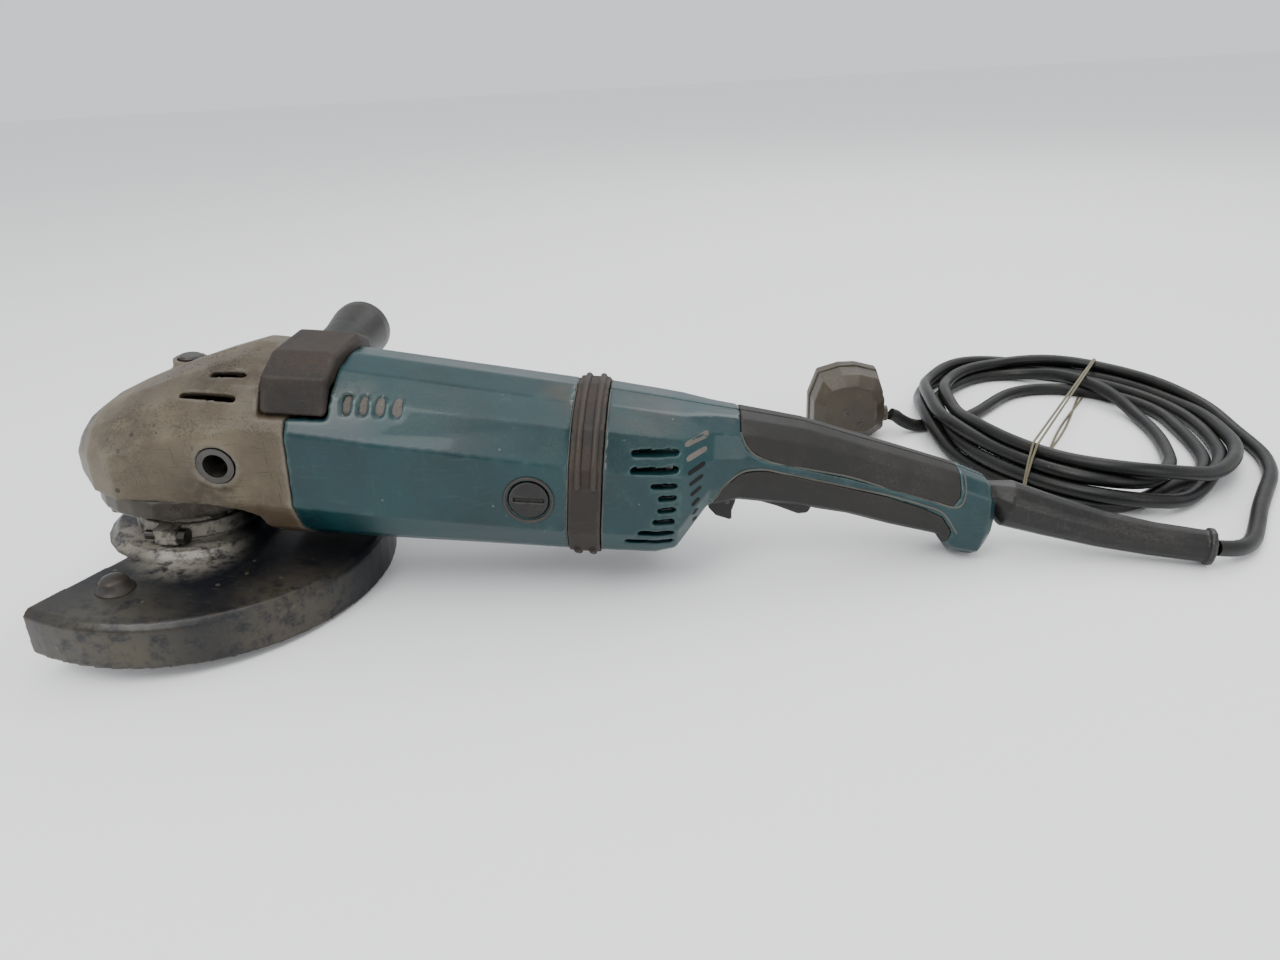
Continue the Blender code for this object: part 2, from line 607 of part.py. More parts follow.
def controls(machine, finish):
    solid("switch_body", box((300, -8, 4), (332, 8, 19)), finish["black_plastic"], machine, False)
    solid("speed_controller", box((226, -20, -24), (250, 20, 22)), finish["black_plastic"], machine, False)

    trigger_axis = bpy.data.objects.new("trigger_axis", None)
    bpy.context.scene.collection.objects.link(trigger_axis)
    trigger_axis.parent = machine
    trigger_axis.location = Vector((TRIGGER_PIVOT[0], 0, TRIGGER_PIVOT[1])) * MM
    outline = [(-2, 2.5), (-2.5, -4), (4, -6), (14, -8.5), (26, -12.5), (31, -11.5), (32.2, -8.5), (32, -1),
               (27, 4.5),
               (8, 4.5)]
    trigger = solid("trigger", plate(outline, -TRIGGER_HALF, TRIGGER_HALF), finish["black_plastic"],
                    trigger_axis, False)
    soften = trigger.modifiers.new("Soften", "BEVEL")
    soften.width = 1.2 * MM
    soften.segments = 2
    soften.angle_limit = math.radians(40)

    lever_axis = bpy.data.objects.new("lever_axis", None)
    bpy.context.scene.collection.objects.link(lever_axis)
    lever_axis.parent = machine
    lever_axis.location = Vector((LEVER_PIVOT[0], 0, LEVER_PIVOT[1])) * MM
    outline = [(-3.5, 7), (-9, 1), (-9.5, -5), (-5, -9.5), (2.5, -11.5), (3.6, -11), (3.2, -6), (4.5, -1),
               (5, 4),
               (3, 7.5)]
    lever = solid("lock_off_lever", plate(outline, -LEVER_HALF, LEVER_HALF), finish["black_plastic"],
                  lever_axis, False)
    carve(lever, rod(1.5 + GAP, -20, 20, axis="Y", steps=12))
    pin = rod(1.5, -LEVER_HALF - 1.2, LEVER_HALF + 1.2, axis="Y", steps=12,
              centre=(LEVER_PIVOT[0], 0, LEVER_PIVOT[1]))
    solid("lever_pin", pin, finish["steel"], machine)


def side_handle(machine, finish):
    grip = turned([
        (0, SIDE_END), (SIDE_END_R - 4, SIDE_END), (SIDE_END_R, SIDE_END - 3), (SIDE_END_R, SIDE_END - 12),
        (SIDE_R + 0.8, SIDE_END - 38), (SIDE_R - 0.5, 110), (SIDE_R, 80), (SIDE_R - 1, 66),
        (SIDE_FLANGE_R, 60),
        (SIDE_FLANGE_R, 56.5), (14, SIDE_START), (7, SIDE_START), (7, 90), (0, 90)],
        steps=32, axis="Y", centre=(HANDLE_X, 0, HANDLE_Z))
    solid("side_handle_grip", grip, finish["rubber"], machine)
    stud = rod(THREAD_R - GAP, BODY_HALF - BUSH_DEPTH + 1, 88, axis="Y", steps=20,
               centre=(HANDLE_X, 0, HANDLE_Z))
    stud = solid("side_handle_stud", stud, finish["steel"], machine)
    carve(stud, rod(THREAD_R - 2 * GAP, 70, 89.5, axis="Y", steps=20, centre=(HANDLE_X, 0, HANDLE_Z)),
          "UNION")


CORD_GUARD_ROUTE = ((414.5, 0, GUARD_EXIT_Z), (432, -1, -9), (455, -4, -13.5), (480, -9, -17),
                    (505, -15, -18),
                    (531, -22, -17))


def cord_guard(machine, finish):
    """The long tapered sleeve that the cord runs through, with a bead at its end."""
    points = [Vector(p) for p in CORD_GUARD_ROUTE]
    radii = (8.2, 12.5, 11.2, 9.8, 8.9, 8.4)
    rings = []
    for number, (point, radius) in enumerate(zip(points, radii)):
        ahead = points[min(number + 1, len(points) - 1)] - points[max(number - 1, 0)]
        turn = ahead.to_track_quat("X", "Z").to_matrix()
        if number == 0:
            turn = Matrix.Identity(3)
        rings.append([point + turn @ Vector((0, radius * math.cos(a), radius * math.sin(a)))
                      for a in (2 * math.pi * i / 16 for i in range(16))])
    start = rings[0]
    rings.insert(1, [p + Vector((9.2, 0, 0)) for p in start])
    sleeve = solid("cord_guard", loft(rings), finish["rubber"], machine)
    bead = rod(9.8, -1.5, 1.5, steps=20)
    ahead = points[-1] - points[-2]
    bead.transform(Matrix.Translation(points[-1]) @ ahead.to_track_quat("Z", "Y").to_matrix().to_4x4())
    carve(sleeve, bead, "UNION")


# The free cord, in millimetres on the ground: out of the sleeve to the hank, and from the hank to the plug
LEAD_ROUTE = ((345.2, -63.1, 10.0), (358, -60.6, 7.6), (371, -51, 5.4), (383, -35, 4.6), (397, -14, 4.6),
              (411.8, 6.2, 4.6), (427.7, 28.2, 4.6), (438, 53.2, 4.6), (441.8, 80, 4.6), (441.5, 101, 4.6))
PLUG_ROUTE = ((234.6, 118, 6.5), (229, 117.5, 9.5), (224.5, 117, 13.8), (220.6, 116.5, 15.6))
CORD_SPACING = 2.2 * CORD_D
HANK_CENTRE = (338.0, 112.0)
HANK_R = 98.0
HANK_RUN = 32.0
HANK_FOOT = 1.4
HANK_HIGH = 38.0
TIE_WIDE = 3.0
TIE_THICK = 0.9
PLUG_CENTRE = (190.0, 116.0)


def smooth_route(route):
    """Points along a smooth curve through the route, about two diameters apart."""
    ends = [Vector(p) for p in route]
    ends = [2 * ends[0] - ends[1]] + ends + [2 * ends[-1] - ends[-2]]
    points = []
    for a, b, c, d in zip(ends, ends[1:], ends[2:], ends[3:]):
        count = max(1, round((c - b).length / CORD_SPACING))
        for number in range(count):
            t = number / count
            points.append(0.5 * (2 * b + (c - a) * t + (2 * a - 5 * b + 4 * c - d) * t**2
                                 + (3 * b - a - 3 * c + d) * t**3))
    return points + [Vector(route[-1])]


def cord_tube(name, route, finish):
    points = smooth_route(route)
    curve = bpy.data.curves.new(name, "CURVE")
    curve.dimensions = "3D"
    curve.bevel_depth = CORD_D / 2 * MM
    curve.bevel_resolution = 2
    curve.use_fill_caps = True
    spline = curve.splines.new("POLY")
    spline.points.add(len(points) - 1)
    for place, point in zip(spline.points, points):
        place.co = (*(point * MM), 1)
    curve.materials.append(finish)
    obj = bpy.data.objects.new(name, curve)
    bpy.context.scene.collection.objects.link(obj)


def cords(finish):
    cord_tube("cord_lead", LEAD_ROUTE, finish["rubber"])
    cord_tube("cord_to_plug", PLUG_ROUTE, finish["rubber"])
    x, y = HANK_CENTRE
    outline = []
    for number in range(24):
        angle = 2 * math.pi * (number + 0.5) / 24
        shift = math.copysign(HANK_RUN, math.sin(angle))
        outline.append((x + HANK_R * math.cos(angle), y + shift + HANK_R * math.sin(angle)))
    solid("cord_hank", plate(outline, HANK_FOOT, HANK_HIGH, "XY"), finish["rubber"])
    reach = HANK_R + HANK_RUN + 1
    low = (HANK_FOOT - TIE_THICK) / 2
    tie = box((-reach - TIE_THICK, -TIE_WIDE / 2, low),
              (reach + TIE_THICK, TIE_WIDE / 2, HANK_HIGH + 2 * TIE_THICK))
    turn = Matrix.Translation((x, y, 0)) @ Matrix.Rotation(math.radians(58), 4, "Z")
    tie.transform(turn)
    tie = solid("hank_tie", tie, finish["band"], None, False)
    inside = box((-reach, -TIE_WIDE, low + TIE_THICK), (reach, TIE_WIDE, HANK_HIGH + TIE_THICK))
    inside.transform(turn)
    carve(tie, inside)


def plug(finish):
    """A square-pin plug standing on its edge, with its pins pointing away and its cord leaving along +X."""
    x, y = PLUG_CENTRE
    outline = [(-26, 8), (-17, 1), (17, 1), (26, 8), (26, 30), (20, 47), (6, 51), (-6, 51), (-20, 47),
               (-26, 30)]
    base = solid("plug_base", plate([(x + a, b) for a, b in outline], y + 6, y + 14), finish["plug"], None,
                 False)
    for a, b, wide, tall in ((0, 14, 4, 8), (-11, 36, 6.4, 4), (11, 36, 6.4, 4)):
        pin = box((x + a - wide / 2, y + 12, b - tall / 2), (x + a + wide / 2, y + 31, b + tall / 2))
        carve(base, pin, "UNION")
    rows = []
    for depth, share in ((5.7, 0.96), (-8, 0.92), (-15, 0.66)):
        rows.append([(x + a * share, y + depth, 26 + (b - 26) * share) for a, b in outline])
    cover = solid("plug_cover", loft(rows[::-1]), finish["plug"], None, False)
    carve(cover, rod(5.4, x + 16, x + 28, axis="X", centre=(0, y + 0.5, 16.5)), "UNION")


def stand(machine):
    """Tips the machine until the guard's rim and the tail hook touch the ground, centred on the origin."""
    foot = -GUARD_TOP + GUARD_SKIRT
    machine.rotation_euler.y = math.atan2(foot + HOOK_Z, HOOK_X - GUARD_R)
    bpy.context.view_layer.update()
    graph = bpy.context.evaluated_depsgraph_get()
    corners = []
    for obj in bpy.data.objects:
        if obj.type == "MESH" and obj.name != "cord_guard":
            shape = obj.evaluated_get(graph)
            corners += [shape.matrix_world @ v.co for v in shape.data.vertices]
    low = Vector([min(c[i] for c in corners) for i in range(3)])
    high = Vector([max(c[i] for c in corners) for i in range(3)])
    machine.location = (-(low.x + high.x) / 2, -(low.y + high.y) / 2, -low.z)
    bpy.context.view_layer.update()


def main():
    clear_scene()
    finish = {
        "casting": material("worn beige enamel", (0.24, 0.21, 0.16), 0.45, 0.3),
        "bearing_box": material("bare cast aluminium", (0.13, 0.12, 0.10), 0.55, 0.6),
        "teal": material("moulded teal plastic", (0.012, 0.080, 0.090), 0.42),
        "rubber": material("black rubber", (0.02, 0.019, 0.018), 0.7),
        "grip": material("soft grip rubber", (0.030, 0.027, 0.024), 0.8),
        "black_plastic": material("black plastic", (0.02, 0.02, 0.02), 0.5),
        "guard": material("blackened guard steel", (0.013, 0.014, 0.016), 0.5, 0.5),
        "steel": material("bright steel", (0.5, 0.48, 0.45), 0.35, 1.0),
        "steel_dark": material("oiled steel", (0.08, 0.075, 0.07), 0.5, 0.8),
        "iron": material("laminated iron", (0.1, 0.09, 0.085), 0.5, 0.7),
        "brass": material("brass", (0.5, 0.35, 0.15), 0.35, 1.0),
        "band": material("tan elastic band", (0.45, 0.40, 0.28), 0.6),
        "plug": material("dusty brown plug plastic", (0.07, 0.06, 0.05), 0.5),
        "carbon": material("carbon", (0.02, 0.02, 0.02), 0.8),
    }
    machine = bpy.data.objects.new("machine", None)
    bpy.context.scene.collection.objects.link(machine)
    gear_head(machine, finish)
    spindle_group(machine, finish)
    motor(machine, finish)
    armature(machine, finish)
    guard_group(machine, finish)
    tail_handle(machine, finish)
    controls(machine, finish)
    side_handle(machine, finish)
    cord_guard(machine, finish)
    stand(machine)
    cords(finish)
    plug(finish)


main()
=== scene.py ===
"""A worn 180 mm angle grinder lying on its guard and handle, with its rubber lead coiled and tied behind.

Everything below is in the CAD's frame. Sizes are in millimetres in the tables and metres in the meshes.
The machine's own axes are X to the tail, Y to the side handle and Z up the spindle, measured from the
point where spindle and armature cross.
"""

import json
import math

import bmesh
import bpy
import numpy as np
from mathutils import Matrix, Vector

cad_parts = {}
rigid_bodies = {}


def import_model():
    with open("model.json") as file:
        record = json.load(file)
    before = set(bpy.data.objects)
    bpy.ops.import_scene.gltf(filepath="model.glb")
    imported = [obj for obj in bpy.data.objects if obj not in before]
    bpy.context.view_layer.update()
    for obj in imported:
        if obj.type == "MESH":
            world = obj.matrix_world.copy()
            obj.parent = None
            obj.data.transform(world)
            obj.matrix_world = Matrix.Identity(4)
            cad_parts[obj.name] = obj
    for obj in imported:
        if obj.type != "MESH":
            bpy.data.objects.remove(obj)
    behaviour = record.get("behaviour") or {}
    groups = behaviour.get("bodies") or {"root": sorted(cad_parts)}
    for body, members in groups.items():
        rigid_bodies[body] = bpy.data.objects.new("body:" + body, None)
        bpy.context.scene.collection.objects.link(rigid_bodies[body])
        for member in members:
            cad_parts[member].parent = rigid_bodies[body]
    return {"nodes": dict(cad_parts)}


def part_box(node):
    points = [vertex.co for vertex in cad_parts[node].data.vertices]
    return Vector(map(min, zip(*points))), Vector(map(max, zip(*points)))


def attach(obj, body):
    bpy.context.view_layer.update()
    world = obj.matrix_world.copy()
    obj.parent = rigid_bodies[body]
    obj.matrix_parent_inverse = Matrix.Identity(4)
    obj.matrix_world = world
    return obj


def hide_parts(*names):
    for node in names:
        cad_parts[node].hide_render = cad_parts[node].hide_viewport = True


for startup_object in list(bpy.data.objects):
    bpy.data.objects.remove(startup_object, do_unlink=True)

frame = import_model()
bpy.context.view_layer.update()

MM = 0.001
# Where spindle and armature cross, and how far the body leans from its head down to its tail.
CROSSING = (-184.75, -40.5, 81.4)
LEAN = math.atan2(32.5, 318)
MACHINE = Matrix.Translation(Vector(CROSSING) * MM) @ Matrix.Rotation(LEAN, 4, "Y") @ Matrix.Scale(MM, 4)
# Lines that look for the surface start this far out, clear of the body: beside it, and all round it.
BESIDE = 70
ROUND_ABOUT = 90

CORD_D = 8.5
# The height of the cord's centre where it lies on the floor.
CORD_LEVEL = 4.6
CORD_STEP = 4.0
# A lifted cord comes down by the square of the way along it over CORD_SAG, and for no longer than CORD_REACH.
CORD_SAG = 260
CORD_REACH = 90
# Stretches of the cord nearer than this along it do not rest on each other.
CORD_APART = 4 * CORD_D
LEAD_ROUTE = (
    (345.2, -63.1, 10.0),
    (358.0, -60.6, 7.6),
    (371.0, -51.0, 5.4),
    (383.0, -35.0, 4.6),
    (397.0, -14.0, 4.6),
    (411.8, 6.2, 4.6),
    (427.7, 28.2, 4.6),
    (438.0, 53.2, 4.6),
    (441.8, 80.0, 4.6),
)
PLUG_ROUTE = ((220.6, 116.5, 15.6), (224.5, 117.0, 13.8), (229.0, 117.5, 9.5), (234.6, 118.0, 6.5))
PLUG_HEADING = 4
LEAD_HEADING = -92
# The turns from the plug to the lead, as (x, y, heading in degrees), at the places where a turn bends most.
TURNS = (
    (262, 124, 12),
    (318, 170, 40),
    (372, 176, -25),
    (410, 112, -95),
    (372, 20, -158),
    (316, -6, -184),
    (262, 44, 118),
    (247, 128, 82),
    (276, 206, 40),
    (322, 226, -4),
    (392, 190, -48),
    (424, 116, -88),
    (398, 32, -128),
    (330, -12, -184),
    (270, 32, 122),
    (256, 112, 84),
    (280, 186, 48),
    (336, 214, -12),
    (380, 166, -62),
    (392, 100, -96),
    (370, 34, -122),
    (318, -2, -186),
    (272, 40, 118),
    (251, 122, 84),
    (268, 192, 56),
    (318, 232, 4),
    (396, 204, -42),
    (432, 124, -88),
    (412, 40, -122),
    (340, -4, -180),
    (281, 36, 122),
    (264, 106, 86),
    (272, 168, 68),
    (316, 216, 18),
    (386, 216, -24),
    (430, 164, -66),
)


def light(name, place, target, size, power):
    """A soft round studio lamp."""
    lamp = bpy.data.lights.new(name, "AREA")
    lamp.shape = "DISK"
    lamp.size = size
    lamp.energy = power
    lit = bpy.data.objects.new(name, lamp)
    lit.location = place
    lit.rotation_euler = (Vector(target) - Vector(place)).to_track_quat("-Z", "Y").to_euler()
    bpy.context.scene.collection.objects.link(lit)


def studio():
    """The camera, the lamps and the pale floor."""
    camera = bpy.data.cameras.new("camera")
    camera.sensor_width = 36
    camera.lens = 24.7
    camera.clip_start = 0.01
    eye = bpy.data.objects.new("camera", camera)
    right = Vector((0.9982, 0.0290, -0.0519))
    up = Vector((0.0335, 0.4456, 0.8946))
    forward = Vector((-0.0491, 0.8947, -0.4439))
    turn = Matrix((right, up, -forward)).transposed().to_4x4()
    eye.matrix_world = Matrix.Translation((0.0747, -0.4576, 0.2554)) @ turn
    bpy.context.scene.collection.objects.link(eye)
    bpy.context.scene.camera = eye
    light("key_lamp", (-0.5, -0.9, 1.5), (0.05, 0, 0.05), 0.9, 15)
    light("far_lamp", (0.7, 1.0, 1.3), (0.1, 0.05, 0.05), 1.0, 9)
    light("top_lamp", (0.15, -0.1, 1.7), (0.1, 0, 0), 1.4, 10)
    light("low_lamp", (0.9, -1.1, 0.5), (0.1, 0, 0.05), 0.7, 3)
    world = bpy.data.worlds.new("studio")
    world.use_nodes = True
    world.node_tree.nodes["Background"].inputs["Color"].default_value = (0.95, 0.97, 1.0, 1)
    world.node_tree.nodes["Background"].inputs["Strength"].default_value = 1.0
    bpy.context.scene.world = world
    floor = bpy.data.meshes.new("floor")
    floor.from_pydata([(-6, -6, 0), (6, -6, 0), (6, 6, 0), (-6, 6, 0)], [], [(0, 1, 2, 3)])
    ground = bpy.data.objects.new("floor", floor)
    bpy.context.scene.collection.objects.link(ground)
    paint = bpy.data.materials.new("pale_floor")
    paint.use_nodes = True
    paint.node_tree.nodes["Principled BSDF"].inputs["Base Color"].default_value = (0.93, 0.93, 0.93, 1)
    paint.node_tree.nodes["Principled BSDF"].inputs["Roughness"].default_value = 0.75
    floor.materials.append(paint)


# --- the cord ---------------------------------------------------------------


def hermite_run(stations, step):
    """Points a step apart on a smooth curve through stations (x, y, heading in degrees)."""
    points = []
    for (x0, y0, h0), (x1, y1, h1) in zip(stations, stations[1:]):
        start, end = np.array((x0, y0), float), np.array((x1, y1), float)
        reach = np.linalg.norm(end - start)
        turn = abs((h1 - h0 + 180) % 360 - 180)
        pull = reach * (1 + turn**2 / 48000)
        out = pull * np.array((math.cos(math.radians(h0)), math.sin(math.radians(h0))))
        into = pull * np.array((math.cos(math.radians(h1)), math.sin(math.radians(h1))))
        for t in np.linspace(0, 1, max(4, int(reach / step)), endpoint=False):
            points.append(
                (2 * t**3 - 3 * t**2 + 1) * start
                + (t**3 - 2 * t**2 + t) * out
                + (3 * t**2 - 2 * t**3) * end
                + (t**3 - t**2) * into
            )
    return np.array(points)


def even(points, step):
    """The same line with its points a step apart."""
    gaps = np.linalg.norm(np.diff(points, axis=0), axis=1)
    along = np.concatenate([[0], np.cumsum(gaps)])
    places = np.linspace(0, along[-1], int(round(along[-1] / step)) + 1)
    return np.stack([np.interp(places, along, points[:, k]) for k in range(points.shape[1])], axis=1)


def blurred(values, reach):
    """A running mean, weighted to the middle, with its ends kept."""
    weights = np.hanning(2 * reach + 3)[1:-1]
    padded = np.concatenate([np.full(reach, values[0]), values, np.full(reach, values[-1])])
    return np.convolve(padded, weights / weights.sum(), "valid")


def laid(line, step, first_free, last_free):
    """Heights for a line laid down in order, each turn over those before it, with its ends kept."""
    count = len(line)
    height = line[:, 2].copy()
    flat = np.linalg.norm(line[:, None, :2] - line[None, :, :2], axis=2)
    order = np.arange(count)
    over = (order[:, None] - order[None, :]) * step > CORD_APART
    near = (flat < CORD_D) & over
    rise = np.sqrt(np.maximum(CORD_D**2 - flat**2, 0))
    away = np.abs(order[:, None] - order[None, :]) * step
    fall = away**2 / CORD_SAG
    fall[away > CORD_REACH] = 1e3
    free = (order >= first_free) & (order <= last_free)
    for _ in range(24):
        need = np.where(near, height[None, :] + rise, -1e3).max(axis=1)
        need = np.maximum(need, CORD_LEVEL)
        lifted = (np.where(free, need, -1e3)[None, :] - fall).max(axis=1)
        lifted = np.maximum(blurred(np.maximum(lifted, CORD_LEVEL), 5), CORD_LEVEL)
        fresh = np.where(free, np.maximum(lifted, CORD_LEVEL), height)
        if np.abs(fresh - height).max() < 0.02:
            break
        height = fresh
    return np.column_stack([line[:, :2], height])


def cord_line():
    """The lead's centreline from the cord guard to the plug, in metres."""
    plug_end = np.array(PLUG_ROUTE)
    lead_end = np.array(LEAD_ROUTE[::-1])
    stations = ((*PLUG_ROUTE[-1][:2], PLUG_HEADING), *TURNS, (*LEAD_ROUTE[-1][:2], LEAD_HEADING))
    turns = even(hermite_run(stations, CORD_STEP / 2), CORD_STEP)
    turns = np.column_stack([turns, np.full(len(turns), CORD_LEVEL)])
    turns[0, 2] = PLUG_ROUTE[-1][2]
    smooth_lead = even(smooth(lead_end), CORD_STEP)
    smooth_plug = even(smooth(plug_end), CORD_STEP)
    line = np.vstack([smooth_plug[:-1], turns, smooth_lead[1:]])
    line = laid(line, CORD_STEP, len(smooth_plug), len(smooth_plug) + len(turns) - 4)
    for axis in range(3):
        inner = blurred(line[:, axis], 2)
        line[2:-2, axis] = inner[2:-2]
    line[:, 2] = np.maximum(line[:, 2], CORD_LEVEL)
    return line[::-1] * MM


def smooth(points):
    """A Catmull-Rom line through the points."""
    rows = np.vstack([2 * points[0] - points[1], points, 2 * points[-1] - points[-2]])
    line = []
    for a, b, c, d in zip(rows, rows[1:], rows[2:], rows[3:]):
        second = 2 * a - 5 * b + 4 * c - d
        third = 3 * b - a - 3 * c + d
        for t in np.linspace(0, 1, 12, endpoint=False):
            line.append(0.5 * (2 * b + (c - a) * t + second * t**2 + third * t**3))
    line.append(points[-1])
    return np.array(line)


def linked(name, data):
    """An object of this data, in the scene."""
    obj = bpy.data.objects.new(name, data)
    bpy.context.scene.collection.objects.link(obj)
    return obj


def make_cord(finish):
    """The rubber lead as one round curve."""
    line = cord_line()
    curve = bpy.data.curves.new("cord", "CURVE")
    curve.dimensions = "3D"
    spline = curve.splines.new("POLY")
    spline.points.add(len(line) - 1)
    for point, place in zip(spline.points, line):
        point.co = (*place, 1)
    curve.bevel_depth = CORD_D * MM / 2
    curve.bevel_resolution = 5
    curve.use_fill_caps = True
    cord = linked("cord", curve)
    cord.data.materials.append(finish)
    length = float(np.linalg.norm(np.diff(line, axis=0), axis=1).sum())
    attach(cord, "housing")
    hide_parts("cord_lead", "cord_to_plug", "cord_hank")
    return cord, line, length


# --- finishes ---------------------------------------------------------------


def group(name, inputs, outputs):
    """An empty shader group with these sockets, and its nodes, links and two ends."""
    tree = bpy.data.node_groups.new(name, "ShaderNodeTree")
    for title, kind, value in inputs:
        tree.interface.new_socket(title, in_out="INPUT", socket_type=kind).default_value = value
    for title, kind in outputs:
        tree.interface.new_socket(title, in_out="OUTPUT", socket_type=kind)
    return tree, tree.nodes.new("NodeGroupInput"), tree.nodes.new("NodeGroupOutput")


def join(tree, start, end):
    """A link from one socket to another."""
    tree.links.new(start, end)


def maths(tree, operation, first, second=0.0, limit=False):
    """One sum; each term is a socket or a number."""
    node = tree.nodes.new("ShaderNodeMath")
    node.operation = operation
    node.use_clamp = limit
    for socket, term in zip(node.inputs, (first, second)):
        if isinstance(term, (int, float)):
            socket.default_value = term
        else:
            join(tree, term, socket)
    return node.outputs[0]


def noise(tree, place, scale, detail=4.0, rough=0.55, stretch=None):
    """A noise value on the piece's own coordinates."""
    node = tree.nodes.new("ShaderNodeTexNoise")
    node.inputs["Detail"].default_value = detail
    node.inputs["Roughness"].default_value = rough
    if isinstance(scale, (int, float)):
        node.inputs["Scale"].default_value = scale
    else:
        join(tree, scale, node.inputs["Scale"])
    if stretch:
        mapping = tree.nodes.new("ShaderNodeMapping")
        mapping.inputs["Scale"].default_value = stretch
        join(tree, place, mapping.inputs["Vector"])
        place = mapping.outputs["Vector"]
    join(tree, place, node.inputs["Vector"])
    return node.outputs["Fac"]


def step_between(tree, value, low, high):
    """0 under low and 1 over high; each may be a socket."""
    node = tree.nodes.new("ShaderNodeMapRange")
    node.interpolation_type = "SMOOTHSTEP"
    join(tree, value, node.inputs["Value"])
    for name, term in (("From Min", low), ("From Max", high)):
        if isinstance(term, (int, float)):
            node.inputs[name].default_value = term
        else:
            join(tree, term, node.inputs[name])
    return node.outputs["Result"]


def edge_wear_group():
    """Rubbed corners: 1 where a corner stands out and noise lets it; painted shade: 1 in hollows and creases.
    """
    tree, given, out = group(
        "edge_wear",
        (("Amount", "NodeSocketFloat", 0.5), ("Patch Scale", "NodeSocketFloat", 90.0)),
        (("Worn", "NodeSocketFloat"), ("Painted_Shade", "NodeSocketFloat")),
    )
    shape = tree.nodes.new("ShaderNodeNewGeometry")
    place = tree.nodes.new("ShaderNodeTexCoord").outputs["Object"]
    patches = noise(tree, place, given.outputs["Patch Scale"], 6.0, 0.65)
    lifted = maths(tree, "MULTIPLY_ADD", patches, 0.10)
    tree.nodes[-1].inputs[2].default_value = -0.05
    sum_of = maths(tree, "ADD", shape.outputs["Pointiness"], lifted)
    edge = step_between(tree, sum_of, 0.508, 0.54)
    join(tree, maths(tree, "MULTIPLY", edge, given.outputs["Amount"], True), out.inputs["Worn"])
    # Painted shade: 1 where the surface is hollow, so that creases and recesses are painted darker.
    painted_hollow_shade = maths(tree, "SUBTRACT", 1.0, step_between(tree, shape.outputs["Pointiness"], 0.42, 0.49))
    join(tree, painted_hollow_shade, out.inputs["Painted_Shade"])
    return tree


def dust_group():
    """Settled dust and smears: most on what faces up, in patches."""
    tree, given, out = group(
        "settled_dust",
        (("Amount", "NodeSocketFloat", 0.4), ("Patch Scale", "NodeSocketFloat", 28.0)),
        (("Dust", "NodeSocketFloat"),),
    )
    place = tree.nodes.new("ShaderNodeTexCoord").outputs["Object"]
    shape = tree.nodes.new("ShaderNodeNewGeometry")
    parts = tree.nodes.new("ShaderNodeSeparateXYZ")
    join(tree, shape.outputs["Normal"], parts.inputs[0])
    upward = step_between(tree, parts.outputs["Z"], -0.5, 0.9)
    patches = step_between(tree, noise(tree, place, given.outputs["Patch Scale"], 7.0, 0.68), 0.40, 0.64)
    fine = step_between(tree, noise(tree, place, 900.0, 2.0, 0.6), 0.3, 0.75)
    speckled = maths(tree, "MULTIPLY", patches, fine)
    lying = maths(tree, "MULTIPLY", speckled, maths(tree, "ADD", upward, 0.25))
    join(tree, maths(tree, "MULTIPLY", lying, given.outputs["Amount"], True), out.inputs["Dust"])
    return tree


def speck_group():
    """Small pale chips and splashes scattered by cells."""
    tree, given, out = group(
        "specks",
        (
            ("Scale", "NodeSocketFloat", 260.0),
            ("Size", "NodeSocketFloat", 0.216),
            ("Share", "NodeSocketFloat", 0.3),
        ),
        (("Specks", "NodeSocketFloat"),),
    )
    place = tree.nodes.new("ShaderNodeTexCoord").outputs["Object"]
    cells = tree.nodes.new("ShaderNodeTexVoronoi")
    join(tree, place, cells.inputs["Vector"])
    join(tree, given.outputs["Scale"], cells.inputs["Scale"])
    inside = maths(tree, "LESS_THAN", cells.outputs["Distance"], given.outputs["Size"])
    split = tree.nodes.new("ShaderNodeSeparateColor")
    join(tree, cells.outputs["Color"], split.inputs[0])
    chosen = maths(tree, "LESS_THAN", split.outputs[0], given.outputs["Share"])
    join(tree, maths(tree, "MULTIPLY", inside, chosen), out.inputs["Specks"])
    return tree


def scratch_group():
    """Fine scratches in two directions, as a mask."""
    tree, given, out = group(
        "scratches",
        (("Amount", "NodeSocketFloat", 0.5),),
        (("Scratches", "NodeSocketFloat"),),
    )
    place = tree.nodes.new("ShaderNodeTexCoord").outputs["Object"]
    along = step_between(tree, noise(tree, place, 60.0, 3.0, 0.7, (1.0, 9.0, 14.0)), 0.605, 0.66)
    across = step_between(tree, noise(tree, place, 55.0, 3.0, 0.7, (12.0, 10.0, 0.9)), 0.62, 0.67)
    both = maths(tree, "MAXIMUM", along, across)
    join(tree, maths(tree, "MULTIPLY", both, given.outputs["Amount"], True), out.inputs["Scratches"])
    return tree


def grain_group():
    """The fine texture of a moulded or cast face: a height and a slow tone change."""
    tree, given, out = group(
        "grain",
        (("Scale", "NodeSocketFloat", 1400.0), ("Tone Scale", "NodeSocketFloat", 22.0)),
        (("Height", "NodeSocketFloat"), ("Tone", "NodeSocketFloat")),
    )
    place = tree.nodes.new("ShaderNodeTexCoord").outputs["Object"]
    join(tree, noise(tree, place, given.outputs["Scale"], 3.0, 0.6), out.inputs["Height"])
    tone = step_between(tree, noise(tree, place, given.outputs["Tone Scale"], 6.0, 0.6), 0.3, 0.7)
    join(tree, tone, out.inputs["Tone"])
    return tree


EFFECTS = {}
STUDIO_DEPTH = 0.30


def effect(tree, name, **values):
    """A shared effect placed in this material with its own values."""
    node = tree.nodes.new("ShaderNodeGroup")
    node.node_tree = EFFECTS[name]
    for title, value in values.items():
        node.inputs[title.replace("_", " ")].default_value = value
    return node.outputs


def tint(colour):
    """A colour given as it looks on screen, 0 to 255, deepened for the bright studio."""
    return tuple(STUDIO_DEPTH * ((c / 255 + 0.055) / 1.055) ** 2.4 for c in colour) + (1.0,)


